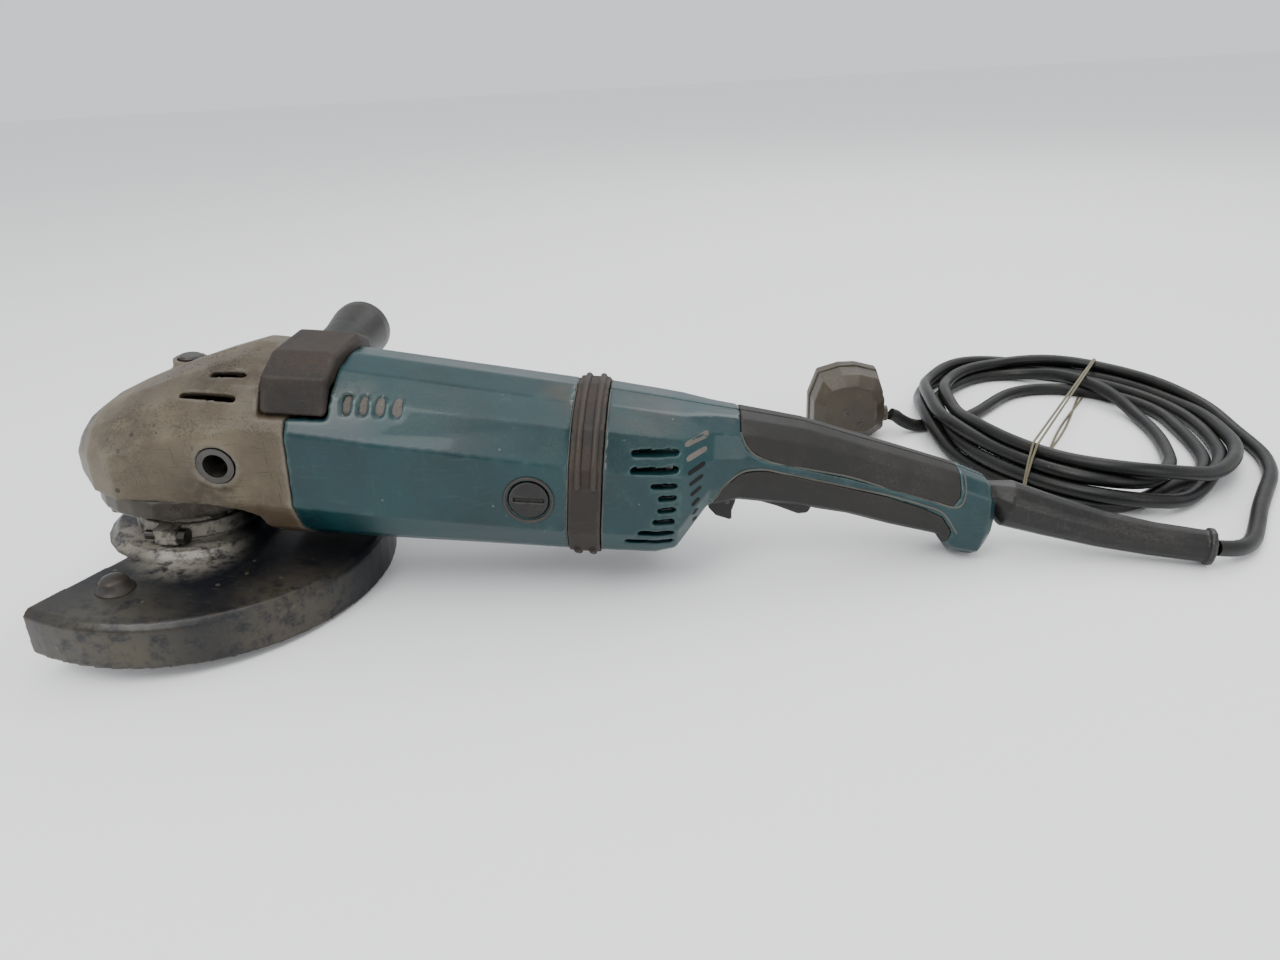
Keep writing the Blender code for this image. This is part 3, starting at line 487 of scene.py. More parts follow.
def mixed(tree, mask, under, over):
    """One colour over another where the mask is 1; each is a colour or a socket."""
    node = tree.nodes.new("ShaderNodeMix")
    node.data_type = "RGBA"
    if isinstance(mask, (int, float)):
        node.inputs[0].default_value = mask
    else:
        join(tree, mask, node.inputs[0])
    for socket, colour in ((node.inputs[6], under), (node.inputs[7], over)):
        if isinstance(colour, tuple):
            socket.default_value = tint(colour) if len(colour) == 3 else colour
        else:
            join(tree, colour, socket)
    return node.outputs[2]


def finish(
    name,
    light_tone,
    dark_tone,
    rough=0.5,
    metal=0.0,
    grain=1400.0,
    grain_height=0.03,
    worn=None,
    wear=0.0,
    dust=None,
    dusty=0.0,
    dust_scale=28.0,
    sunk=None,
    specks=None,
    speck_scale=260.0,
    speck_share=0.3,
    speck_size=0.216,
    scratch=None,
    scratched=0.0,
    rust=0.0,
    coat=0.0,
    worn_metal=0.0,
    tone_scale=22.0,
    extra=None,
):
    """A procedural finish: two tones in slow patches, grain, rubbed edges, painted shade in hollows, dust,
    specks and scratches.
    """
    material = bpy.data.materials.new(name)
    material.use_nodes = True
    tree = material.node_tree
    shader = tree.nodes["Principled BSDF"]
    texture = effect(tree, "grain", Scale=grain, Tone_Scale=tone_scale)
    colour = mixed(tree, texture["Tone"], dark_tone, light_tone)
    roughness = maths(tree, "MULTIPLY_ADD", texture["Tone"], 0.14)
    tree.nodes[-1].inputs[2].default_value = rough - 0.07
    metallic = None
    if rust:
        place = tree.nodes.new("ShaderNodeTexCoord").outputs["Object"]
        spots = step_between(tree, noise(tree, place, 70.0, 8.0, 0.7), 0.66 - 0.25 * rust, 0.80 - 0.2 * rust)
        colour = mixed(tree, spots, colour, (84, 52, 34))
        roughness = maths(tree, "MAXIMUM", roughness, maths(tree, "MULTIPLY", spots, 0.85))
    if extra:
        colour = extra(tree, colour)
    if scratch:
        lines = effect(tree, "scratches", Amount=scratched)["Scratches"]
        colour = mixed(tree, lines, colour, scratch)
    if specks:
        dots = effect(tree, "specks", Scale=speck_scale, Size=speck_size, Share=speck_share)["Specks"]
        colour = mixed(tree, maths(tree, "MULTIPLY", dots, 0.75), colour, specks)
    rubbed = effect(tree, "edge_wear", Amount=wear)
    if worn:
        colour = mixed(tree, rubbed["Worn"], colour, worn)
        if worn_metal:
            metallic = maths(tree, "MULTIPLY", rubbed["Worn"], worn_metal)
    # sunk is a dark colour painted into hollows and creases: painted shade.
    if sunk:
        colour = mixed(tree, maths(tree, "MULTIPLY", rubbed["Painted_Shade"], 0.7), colour, sunk)
    if dust:
        settled = effect(tree, "settled_dust", Amount=dusty, Patch_Scale=dust_scale)["Dust"]
        colour = mixed(tree, settled, colour, dust)
        roughness = maths(tree, "MAXIMUM", roughness, maths(tree, "MULTIPLY", settled, 0.9))
    join(tree, colour, shader.inputs["Base Color"])
    join(tree, roughness, shader.inputs["Roughness"])
    if metallic is not None:
        join(tree, metallic, shader.inputs["Metallic"])
    else:
        shader.inputs["Metallic"].default_value = metal
    shader.inputs["Coat Weight"].default_value = coat
    shader.inputs["Specular IOR Level"].default_value = 0.34
    bump = tree.nodes.new("ShaderNodeBump")
    bump.inputs["Strength"].default_value = 0.5
    bump.inputs["Distance"].default_value = grain_height * MM
    join(tree, texture["Height"], bump.inputs["Height"])
    join(tree, bump.outputs["Normal"], shader.inputs["Normal"])
    return material


def ring_mask(tree, centre, inner, outer):
    """1 within a ball-shaped band round a point given in machine millimetres."""
    place = tree.nodes.new("ShaderNodeTexCoord").outputs["Object"]
    away = tree.nodes.new("ShaderNodeVectorMath")
    away.operation = "DISTANCE"
    join(tree, place, away.inputs[0])
    away.inputs[1].default_value = MACHINE @ Vector(centre)
    return maths(tree, "SUBTRACT", 1.0, step_between(tree, away.outputs["Value"], inner * MM, outer * MM))


def with_patches(patches):
    """Paints ragged stains at set places over a finish."""

    def paint(tree, colour):
        for centre, inner, outer, stain, strength in patches:
            place = tree.nodes.new("ShaderNodeTexCoord").outputs["Object"]
            ragged = step_between(tree, noise(tree, place, 120.0, 6.0, 0.7), 0.34, 0.56)
            mask = maths(tree, "MULTIPLY", ring_mask(tree, centre, inner, outer), ragged)
            colour = mixed(tree, maths(tree, "MULTIPLY", mask, strength), colour, stain)
        return colour

    return paint


# Stains as (centre in the machine's millimetres, inner radius, outer radius, colour, strength).
CASE_STAINS = (
    ((-10, -34, 18), 6, 30, (92, 78, 64), 0.55),
    ((30, -40, -6), 6, 22, (74, 62, 50), 0.6),
    ((60, -44, -20), 5, 24, (112, 86, 62), 0.5),
    ((-36, -20, -4), 8, 26, (176, 168, 152), 0.45),
    ((34, -20, 40), 4, 22, (66, 56, 46), 0.7),
    ((60, -30, 52), 6, 24, (84, 66, 52), 0.6),
)
BODY_STAINS = (
    ((203, -10, 44), 4, 22, (92, 88, 66), 0.75),
    ((240, -20, 42), 6, 26, (88, 84, 70), 0.5),
    ((100, -30, 40), 5, 18, (150, 150, 140), 0.35),
    ((116, -46, -40), 4, 26, (70, 84, 80), 0.5),
)
GUARD_STAINS = (
    ((8, -34, -44), 8, 34, (244, 236, 218), 1.0),
    ((-24, -28, -42), 6, 26, (226, 216, 198), 1.0),
    ((-9, -71, -47), 6, 14, (104, 100, 94), 0.4),
    ((10, -99, -62), 3, 12, (126, 118, 62), 0.45),
    ((0, -104, -68), 14, 56, (128, 120, 102), 0.7),
    ((-66, -82, -68), 12, 50, (124, 104, 82), 0.75),
    ((78, -72, -68), 12, 50, (128, 118, 100), 0.75),
)


def make_finishes():
    """Every finish of this grinder, by the name of its material slot."""
    EFFECTS.update(
        edge_wear=edge_wear_group(),
        settled_dust=dust_group(),
        specks=speck_group(),
        scratches=scratch_group(),
        grain=grain_group(),
    )
    # Each sunk colour is painted shade, laid dark into the hollows and creases.
    return {
        "enamel": finish(
            "worn_beige_enamel", (176, 162, 136), (136, 121, 97), 0.5, grain=700, grain_height=0.05,
            worn=(188, 180, 166), wear=0.55, worn_metal=0.2, sunk=(48, 40, 34), dust=(96, 82, 66), dusty=0.9,
            dust_scale=34, specks=(70, 60, 50), speck_scale=150, speck_share=0.22, speck_size=0.198,
            scratch=(84, 72, 58), scratched=0.45, extra=with_patches(CASE_STAINS),
        ),
        "teal": finish(
            "teal_moulding", (4, 88, 94), (2, 64, 72), 0.34, grain=1500, grain_height=0.02,
            worn=(96, 132, 130), wear=0.45, sunk=(14, 36, 38), dust=(84, 104, 98), dusty=0.42, dust_scale=26,
            specks=(150, 160, 152), speck_scale=170, speck_share=0.10, speck_size=0.099,
            scratch=(70, 112, 112), scratched=0.32, coat=0.12,
            extra=with_patches(BODY_STAINS),
        ),
        "cast": finish(
            "bare_cast_metal", (142, 136, 126), (92, 86, 78), 0.42, metal=0.75, grain=600, grain_height=0.06,
            worn=(196, 190, 180), wear=0.5, sunk=(44, 38, 32), dust=(170, 162, 148), dusty=1.0, rust=0.3,
        ),
        "steel": finish(
            "worn_steel", (150, 148, 144), (104, 101, 96), 0.33, metal=0.9, grain=900, grain_height=0.02,
            sunk=(40, 36, 32), dust=(150, 142, 130), dusty=0.6, rust=0.35,
        ),
        "iron": finish("core_laminations", (96, 94, 92), (66, 63, 60), 0.45, metal=0.8, grain=500, rust=0.25),
        "brass": finish("copper_bars", (176, 112, 70), (128, 80, 50), 0.35, metal=0.9, grain=800),
        "carbon": finish("pressed_carbon", (42, 42, 44), (26, 26, 28), 0.6, grain=1800, grain_height=0.03),
        "rubber": finish(
            "bumper_rubber", (78, 66, 57), (50, 44, 40), 0.62, grain=900, grain_height=0.06,
            worn=(118, 108, 96), wear=0.4, sunk=(28, 24, 22), dust=(98, 78, 62), dusty=0.95, dust_scale=40,
            scratch=(96, 86, 76), scratched=0.3,
        ),
        "grip": finish(
            "soft_grip_rubber", (62, 59, 55), (42, 39, 36), 0.6, grain=1700, grain_height=0.05,
            worn=(92, 88, 80), wear=0.3, sunk=(26, 25, 24), dust=(104, 98, 88), dusty=0.5, dust_scale=36,
            specks=(176, 170, 158), speck_scale=120, speck_share=0.16, speck_size=0.09,
        ),
        "black_plastic": finish(
            "black_moulding", (50, 49, 47), (34, 33, 32), 0.42, grain=1500, grain_height=0.02,
            worn=(112, 108, 102), wear=0.5, sunk=(20, 19, 18), dust=(110, 102, 92), dusty=0.45,
            scratch=(92, 88, 82), scratched=0.3,
        ),
        "guard": finish(
            "black_stove_enamel", (40, 44, 54), (28, 31, 39), 0.4, grain=900, grain_height=0.04,
            worn=(92, 80, 66), wear=0.7, worn_metal=0.3, dust=(96, 94, 88), dusty=0.4, dust_scale=36,
            specks=(130, 120, 102), speck_scale=110, speck_share=0.3, speck_size=0.126,
            scratch=(92, 90, 86), scratched=0.5, rust=0.06, extra=with_patches(GUARD_STAINS),
        ),
        "band": finish(
            "tan_rubber_band", (196, 186, 148), (158, 146, 108), 0.55, grain=1200,
            worn=(210, 204, 176), wear=0.3, dust=(120, 112, 92), dusty=0.4,
        ),
        "plug": finish(
            "grey_brown_plug_moulding", (118, 108, 90), (84, 74, 60), 0.42, grain=1300, grain_height=0.03,
            worn=(168, 160, 144), wear=0.5, sunk=(46, 40, 32), dust=(150, 140, 120), dusty=0.5,
            specks=(60, 52, 42), speck_scale=200, speck_share=0.2, speck_size=0.144,
        ),
        "cord": finish(
            "cord_rubber", (34, 36, 36), (18, 20, 21), 0.44, grain=1600, grain_height=0.03,
            dust=(92, 84, 66), dusty=0.5, dust_scale=46,
            specks=(130, 124, 110), speck_scale=160, speck_share=0.12, speck_size=0.09,
            scratch=(78, 80, 74), scratched=0.25,
        ),
        "outline": finish(
            "pale_grip_line", (150, 148, 138), (108, 110, 104), 0.6, grain=1300, dust=(90, 84, 74), dusty=0.5,
        ),
        "caulk": finish(
            "packed_dust", (168, 160, 152), (128, 120, 112), 0.85, grain=900, grain_height=0.3,
            dust=(96, 88, 80), dusty=0.5,
        ),
        # Near-black, for the painted shade inside the open vents.
        "dark": finish("unlit_inside", (18, 18, 18), (8, 8, 8), 0.7, grain=900),
    }


# --- shells and mouldings ---------------------------------------------------


def mesh_of(bm, name):
    """The built mesh as an object in the scene."""
    data = bpy.data.meshes.new(name)
    bm.to_mesh(data)
    bm.free()
    return linked(name, data)


def settled(obj):
    """The object with its modifiers worked into a plain mesh."""
    bpy.context.view_layer.update()
    graph = bpy.context.evaluated_depsgraph_get()
    data = bpy.data.meshes.new_from_object(obj.evaluated_get(graph))
    data.name = obj.name
    name = obj.name
    bpy.data.objects.remove(obj, do_unlink=True)
    return linked(name, data)


def moulded(node, material, body="housing", voxel=1.0, rounds=6, factor=0.5):
    """The CAD shape with every edge rounded off as a moulding or a casting has it."""
    bm = bmesh.new()
    bm.from_mesh(frame["nodes"][node].data)
    bmesh.ops.remove_doubles(bm, verts=bm.verts, dist=1e-6)
    piece = mesh_of(bm, node + "_moulded")
    remesh = piece.modifiers.new("even", "REMESH")
    remesh.mode = "VOXEL"
    remesh.voxel_size = voxel * MM
    relax = piece.modifiers.new("rounded", "SMOOTH")
    relax.factor = factor
    relax.iterations = rounds
    piece = settled(piece)
    piece.data.materials.clear()
    piece.data.materials.append(material)
    for face in piece.data.polygons:
        face.use_smooth = True
    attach(piece, body)
    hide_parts(node)
    return piece


# The bore of the shaft lock: its place, the radii of button and stem, the radius that parts the two, the
# height of its floor with the band above that is drawn down to it, and the heights that it lies between.
LOCK_PLACE = (-1.0, 18.5)
LOCK_BORE = 6.45
LOCK_STEM_BORE = 2.9
LOCK_PARTING = 4.6
LOCK_FLOOR = 30.0
LOCK_FLOOR_BAND = 0.8
LOCK_LOW = 8
LOCK_HIGH = 48


def clear_lock_bore(case):
    """Opens the rounded case round the shaft-lock button to its clearance, over the button's whole travel."""
    inverse = MACHINE.inverted()
    for vertex in case.data.vertices:
        spot = inverse @ vertex.co
        away = Vector((spot.x - LOCK_PLACE[0], spot.y - LOCK_PLACE[1]))
        reach = away.length
        if reach < 0.01 or reach > LOCK_BORE or not LOCK_LOW < spot.z < LOCK_HIGH:
            continue
        if spot.z > LOCK_FLOOR + LOCK_FLOOR_BAND and reach > LOCK_PARTING:
            wanted = LOCK_BORE
        elif reach < LOCK_STEM_BORE:
            wanted = LOCK_STEM_BORE
        else:
            wanted = reach
        over_stem = spot.z > LOCK_FLOOR and reach <= LOCK_PARTING
        if over_stem or LOCK_FLOOR < spot.z <= LOCK_FLOOR + LOCK_FLOOR_BAND:
            spot.z = LOCK_FLOOR
        away *= wanted / reach
        vertex.co = MACHINE @ Vector((LOCK_PLACE[0] + away.x, LOCK_PLACE[1] + away.y, spot.z))
    case.data.update()


# The shells: CAD node, finish, body, voxel size and rounds of smoothing.
MOULDED = (
    ("gear_case", "enamel", "housing", 1.0, 5),
    ("motor_housing", "teal", "housing", 1.15, 4),
    ("handle_left", "teal", "housing", 0.9, 4),
    ("handle_right", "teal", "housing", 0.9, 4),
    ("upper_grip_left", "grip", "housing", 0.7, 6),
    ("upper_grip_right", "grip", "housing", 0.7, 6),
    ("lower_grip_left", "grip", "housing", 0.7, 6),
    ("lower_grip_right", "grip", "housing", 0.7, 6),
    ("housing_band", "rubber", "housing", 0.8, 5),
    ("top_bumper", "rubber", "housing", 0.8, 7),
    ("guard", "guard", "guard", 0.85, 3),
    ("guard_band", "guard", "guard", 0.7, 3),
    ("bearing_box", "cast", "housing", 0.8, 3),
    ("side_handle_grip", "black_plastic", "housing", 0.9, 6),
    ("cord_guard", "black_plastic", "housing", 0.7, 5),
    ("plug_base", "plug", "housing", 0.6, 5),
    ("plug_cover", "plug", "housing", 0.6, 5),
    ("trigger", "black_plastic", "trigger", 0.6, 4),
    ("lock_off_lever", "black_plastic", "lock_off_lever", 0.6, 4),
    ("brush_cap_left", "black_plastic", "housing", 0.4, 3),
    ("brush_cap_right", "black_plastic", "housing", 0.4, 3),
)


def screw_tree():
    """Geometry Nodes: a flat-headed screw with a six-sided recess on every point, along the point's axis."""
    tree = bpy.data.node_groups.new("screws_on_points", "GeometryNodeTree")
    tree.interface.new_socket("Points", in_out="INPUT", socket_type="NodeSocketGeometry")
    sizes = (("Head Radius", 0.0032), ("Head Height", 0.0018), ("Recess Radius", 0.0017))
    for title, value in sizes:
        tree.interface.new_socket(title, in_out="INPUT", socket_type="NodeSocketFloat").default_value = value
    tree.interface.new_socket("Finish", in_out="INPUT", socket_type="NodeSocketMaterial")
    tree.interface.new_socket("Screws", in_out="OUTPUT", socket_type="NodeSocketGeometry")
    given = tree.nodes.new("NodeGroupInput")
    out = tree.nodes.new("NodeGroupOutput")
    head = tree.nodes.new("GeometryNodeMeshCylinder")
    head.inputs["Vertices"].default_value = 24
    join(tree, given.outputs["Head Radius"], head.inputs["Radius"])
    join(tree, given.outputs["Head Height"], head.inputs["Depth"])
    recess = tree.nodes.new("GeometryNodeMeshCylinder")
    recess.inputs["Vertices"].default_value = 6
    join(tree, given.outputs["Recess Radius"], recess.inputs["Radius"])
    join(tree, given.outputs["Head Height"], recess.inputs["Depth"])
    lifted = tree.nodes.new("GeometryNodeTransform")
    raise_by = tree.nodes.new("ShaderNodeCombineXYZ")
    half = maths(tree, "MULTIPLY", given.outputs["Head Height"], 0.45)
    join(tree, half, raise_by.inputs["Z"])
    join(tree, recess.outputs["Mesh"], lifted.inputs["Geometry"])
    join(tree, raise_by.outputs[0], lifted.inputs["Translation"])
    cut = tree.nodes.new("GeometryNodeMeshBoolean")
    cut.operation = "DIFFERENCE"
    join(tree, head.outputs["Mesh"], cut.inputs[0])
    join(tree, lifted.outputs["Geometry"], cut.inputs[1])
    axis = tree.nodes.new("GeometryNodeInputNamedAttribute")
    axis.data_type = "FLOAT_VECTOR"
    axis.inputs["Name"].default_value = "axis"
    turn = tree.nodes.new("FunctionNodeAlignRotationToVector")
    turn.axis = "Z"
    join(tree, axis.outputs["Attribute"], turn.inputs["Vector"])
    place = tree.nodes.new("GeometryNodeInstanceOnPoints")
    join(tree, given.outputs["Points"], place.inputs["Points"])
    join(tree, cut.outputs["Mesh"], place.inputs["Instance"])
    join(tree, turn.outputs["Rotation"], place.inputs["Rotation"])
    real = tree.nodes.new("GeometryNodeRealizeInstances")
    join(tree, place.outputs["Instances"], real.inputs["Geometry"])
    paint = tree.nodes.new("GeometryNodeSetMaterial")
    join(tree, real.outputs["Geometry"], paint.inputs["Geometry"])
    join(tree, given.outputs["Finish"], paint.inputs["Material"])
    join(tree, paint.outputs["Geometry"], out.inputs["Screws"])
    return tree


def set_inputs(modifier, values):
    """A modifier's inputs by name, through each socket's identifier."""
    for item in modifier.node_group.interface.items_tree:
        if item.in_out == "INPUT" and item.name in values:
            modifier[item.identifier] = values[item.name]


def screws(name, tree, places, body, finish_of_head, radius=3.2, height=1.8):
    """Screws at (point, outward direction) given in the machine's millimetres."""
    data = bpy.data.meshes.new(name)
    data.from_pydata([MACHINE @ Vector(point) for point, _ in places], [], [])
    axes = data.attributes.new("axis", "FLOAT_VECTOR", "POINT")
    turn = MACHINE.to_3x3().normalized()
    for item, (_, outward) in zip(axes.data, places):
        item.vector = turn @ Vector(outward)
    points = linked(name, data)
    nodes = points.modifiers.new("screws", "NODES")
    nodes.node_group = tree
    sizes = {"Head Radius": radius * MM, "Head Height": height * MM, "Recess Radius": radius * 0.55 * MM}
    set_inputs(nodes, {**sizes, "Finish": finish_of_head})
    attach(settled(points), body)


def surface_point(shells, start, direction):
    """Where a line from start first meets one of the shells, with the face's direction there."""
    best = None
    for shell in shells:
        hit, place, normal, _ = shell.ray_cast(start, direction)
        if hit and (best is None or (place - start).length < (best[0] - start).length):
            best = (place, normal)
    return best


def rounded_rod(name, runs, radius, material, body="housing", closed=False, resolution=3):
    """Round rods along runs of points given in metres, as one mesh."""
    curve = bpy.data.curves.new(name, "CURVE")
    curve.dimensions = "3D"
    curve.bevel_depth = radius * MM
    curve.bevel_resolution = resolution
    curve.use_fill_caps = True
    for run in runs:
        spline = curve.splines.new("POLY")
        spline.points.add(len(run) - 1)
        spline.use_cyclic_u = closed
        for point, place in zip(spline.points, run):
            point.co = (*place, 1)
    rod = settled(linked(name, curve))
    rod.data.materials.clear()
    rod.data.materials.append(material)
    for face in rod.data.polygons:
        face.use_smooth = True
    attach(rod, body)
    return rod


# The edges of the soft grips in the side view, from the motor to the tail.
UPPER_LINE = (
    (287, 29), (291.7, 21.2), (299.7, 16.8), (310.4, 14.2), (342.5, 9.6),
    (364.5, 3.7), (387.3, -2.2), (402.6, -5.2), (405.2, 6.3), (402.1, 17.9),
)
LOWER_LINE = (
    (276.2, -10.1), (280.2, 1.6), (288.9, 10.1), (300.2, 11.9), (311, 9.8),
    (343.4, 4), (365.1, 0.3), (384.3, -4.7), (394.7, -8.7), (404.3, -20.4),
)
GRIP_LINE_R = 0.55
GRIP_LINE_LIFT = 0.00005


def grip_lines(shells, material):
    """The pale worn lines where the soft grips meet the hard shell, on both sides."""
    turn = MACHINE.to_3x3().normalized()
    for side, word in ((-1, "left"), (1, "right")):
        runs = []
        for outline in (UPPER_LINE, LOWER_LINE):
            run = []
            for x, z in even(smooth(np.array(outline, float)), 1.6):
                start = MACHINE @ Vector((x, side * BESIDE, z))
                found = surface_point(shells, start, turn @ Vector((0, -side, 0)))
                if found:
                    run.append(found[0] + found[1] * GRIP_LINE_LIFT)
            if len(run) > 6:
                line = np.array(run)
                for axis in range(3):
                    line[2:-2, axis] = blurred(line[:, axis], 2)[2:-2]
                runs.append(line)
        rounded_rod("grip_line_" + word, runs, GRIP_LINE_R, material)


# The short vents high on the motor housing: stations, size, and their place on the slope beside the top.
VENTS = (98.7, 106.5, 114.3, 122.5)
VENT_WIDE = 3.5
VENT_TALL = 10.6
VENT_OUT = 35.5
VENT_UP = 41
VENT_LEAN = 45
# The slanted vents at the front of the handle: how many, how many are full of dust, their widths, and the two
# ends of the top one with the step from each vent to the next. The open ones are dark strips of painted
# shade.
SLANTED_VENTS = 8
FILLED_VENTS = 2
FILLED_WIDE = 2.6
SLANTED_WIDE = 2.4
SLANT_FRONT = (259.5, 27)
SLANT_FRONT_STEP = (1.1, -6.1)
SLANT_BACK = (271, 30)
SLANT_BACK_STEP = (-0.5, -6.1)


def packed_dust(material):
    """Dust packed into the short vents on each side of the motor housing, level with the worn crease."""
    bm = bmesh.new()
    for side in (-1, 1):
        for x in VENTS:
            lean = Matrix.Rotation(side * math.radians(VENT_LEAN), 4, "X")
            place = MACHINE @ Matrix.Translation((x, side * VENT_OUT, VENT_UP)) @ lean
            rows = []
            for up in np.linspace(-0.5, 0.5, 7):
                wide = VENT_WIDE * (0.62 - 0.3 * up) * (1 - 0.5 * (abs(up) > 0.45))
                sunk = 1.75 + 0.27 * abs(up * VENT_TALL) + 0.8 * (abs(up) > 0.45)
                edge = sunk + 0.5
                corners = ((-wide, edge), (-wide * 0.5, sunk), (wide * 0.5, sunk), (wide, edge), (0, 4.2))
                spots = [(across, -side * depth, up * VENT_TALL) for across, depth in corners]
                rows.append([bm.verts.new(place @ Vector(spot)) for spot in spots])
            for low, high in zip(rows, rows[1:]):
                for k in range(5):
                    bm.faces.new((low[k], low[(k + 1) % 5], high[(k + 1) % 5], high[k]))
            bm.faces.new(rows[0])
            bm.faces.new(rows[-1])
    bmesh.ops.recalc_face_normals(bm, faces=bm.faces)
    pad = mesh_of(bm, "packed_dust")
    pad.data.materials.append(material)
    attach(pad, "housing")


def strips(name, shells, runs, wide, material, body="housing", lift=0.06):
    """Thin strips lying on the shells along runs of (start, end) in the side view, on both sides."""
    turn = MACHINE.to_3x3().normalized()
    bm = bmesh.new()
    for side in (-1, 1):
        for (x0, z0), (x1, z1) in runs:
            along = Vector((x1 - x0, z1 - z0)).normalized()
            rows = []
            for t in np.linspace(0, 1, 9):
                half = wide / 2 * (0.55 if t in (0, 1) else 1)
                row = []
                for share in (-1, 0, 1):
                    x = x0 + (x1 - x0) * t - along.y * half * share
                    z = z0 + (z1 - z0) * t + along.x * half * share
                    start = MACHINE @ Vector((x, side * BESIDE, z))
                    row.append(surface_point(shells, start, turn @ Vector((0, -side, 0))))
                rows.append(row)
            if any(spot is None for row in rows for spot in row):
                continue
            verts = [[bm.verts.new(p + n * lift * MM) for p, n in row] for row in rows]
            for low, high in zip(verts, verts[1:]):
                for k in range(2):
                    quad = (low[k], low[k + 1], high[k + 1], high[k])
                    bm.faces.new(quad if side > 0 else quad[::-1])
    piece = mesh_of(bm, name)
    piece.data.materials.append(material)
    faces = piece.data.polygons
    middle = sum(face.center.y for face in faces) / max(1, len(faces))
    outward = sum(face.normal.y * (face.center.y - middle) for face in faces)
    if outward < 0:
        piece.data.flip_normals()
    for face in piece.data.polygons:
        face.use_smooth = True
    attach(piece, body)


def round_the_body(shells, x, start, end, count=60):
    """Points on the shells at one station of the body, between two angles about its axis from straight up."""
    turn = MACHINE.to_3x3().normalized()
    run = []
    for angle in np.linspace(math.radians(start), math.radians(end), count):
        outward = Vector((0, -math.sin(angle), math.cos(angle)))
        begin = MACHINE @ (Vector((x, 0, 0)) + outward * ROUND_ABOUT)
        found = surface_point(shells, begin, turn @ -outward)
        if found:
            run.append(found[0])
    return np.array(run)


# The rubber band round the motor's end: the stations of its ribs, the angles they run between, and its edges.
RIB_STATIONS = (209.2, 216.8)
RIB_ARCS = ((-80, 80), (128, 232))
RIB_R = 1.7
EDGE_STATIONS = (204.4, 221.6)
EDGE_R = 0.4


def band_ribs(shells, finishes):
    """The raised ribs of the rubber band round the motor's end and the pale worn lines at its edges."""
    ribs = [round_the_body(shells, x, start, end) for x in RIB_STATIONS for start, end in RIB_ARCS]
    rounded_rod("band_ribs", ribs, RIB_R, finishes["rubber"], resolution=4)
    edges = [round_the_body(shells, x, 0, 355, 140) for x in EDGE_STATIONS]
    rounded_rod("band_edges", edges, EDGE_R, finishes["outline"])


# The round stop on the guard: its place, and its outline as (radius, height) from top to bottom.
STOP_PLACE = (-9, -71)
STOP_OUTLINE = (
    (0.0, -40.9),
    (3.4, -41.0),
    (5.6, -41.8),
    (6.6, -43.2),
    (7.0, -46.2),
    (8.6, -46.9),
    (9.0, -47.7),
    (0.0, -47.9),
)
STOP_SIDES = 40


def guard_stop(material):
    """The round stop that stands on the guard's flat, near its open end."""
    x, y = STOP_PLACE
    turns = [2 * math.pi * k / STOP_SIDES for k in range(STOP_SIDES)]
    bm = bmesh.new()
    rings = []
    for radius, height in STOP_OUTLINE:
        spots = [(x + radius * math.cos(a), y + radius * math.sin(a), height) for a in turns]
        if radius == 0.0:
            spots = [(x, y, height)]
        rings.append([bm.verts.new(MACHINE @ Vector(spot)) for spot in spots])
    for upper, lower in zip(rings, rings[1:]):
        for k in range(STOP_SIDES):
            over = (upper[k % len(upper)], upper[(k + 1) % len(upper)])
            under = (lower[(k + 1) % len(lower)], lower[k % len(lower)])
            bm.faces.new(list(dict.fromkeys(over + under)))
    bmesh.ops.recalc_face_normals(bm, faces=bm.faces)
    stop = mesh_of(bm, "guard_stop")
    stop.data.materials.append(material)
    for face in stop.data.polygons:
        face.use_smooth = True
    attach(stop, "guard")


# The left handle bush: its mouth, and the thread in it with the radius of its ridge.
BUSH_MOUTH = (37, -46.2, 9)
THREAD_R = 6.3
THREAD_RIDGE = 0.45
THREAD_PITCH = 2
THREAD_TURNS = 5


def thread_line():
    """The thread inside the left handle bush, as one winding line."""
    x, y, z = BUSH_MOUTH
    line = []
    for angle in np.linspace(0, THREAD_TURNS * 2 * math.pi, 200):
        inwards = THREAD_PITCH * angle / (2 * math.pi)
        spot = (x + THREAD_R * math.cos(angle), y + inwards, z + THREAD_R * math.sin(angle))
        line.append(MACHINE @ Vector(spot))
    return np.array(line)


def circle(centre, radius, side, count=48):
    """Points of a ring facing the side, in metres."""
    x, y, z = centre
    line = []
    for k in range(count):
        angle = 2 * math.pi * k / count
        spot = (x + radius * math.cos(angle), side * y, z + radius * math.sin(angle))
        line.append(MACHINE @ Vector(spot))
    return np.array(line)


# The rubber band on the coil: the middle of the coil, the band's direction across it and half its span, the
# strands' radius, their gap over the cord, their height where they run back underneath, and how far and over
# what length they wander sideways.
BAND_MIDDLE = (338.0, 112.0)
BAND_TURN = math.radians(58)
BAND_HALF = 116.0
BAND_R = 0.75
BAND_GAP = 0.6
BAND_UNDER = 0.7
BAND_SWAY = 1.6
BAND_SWAY_LENGTH = 26


def sway(place, phase):
    """How far a strand of the rubber band wanders sideways here."""
    return BAND_SWAY * math.cos(place / BAND_SWAY_LENGTH + phase)


def pulled_tight(places, tops):
    """The places that a strand touches when it is pulled tight over these heights."""
    raised = np.where(tops > 2.0)[0]
    first, last = raised[0], raised[-1]
    touched = [first]
    for k in range(first + 1, last + 1):
        while len(touched) > 1:
            a, b = touched[-2], touched[-1]
            if (tops[b] - tops[a]) * (places[k] - places[a]) > (tops[k] - tops[a]) * (places[b] - places[a]):
                break
            touched.pop()
        touched.append(k)
    return touched


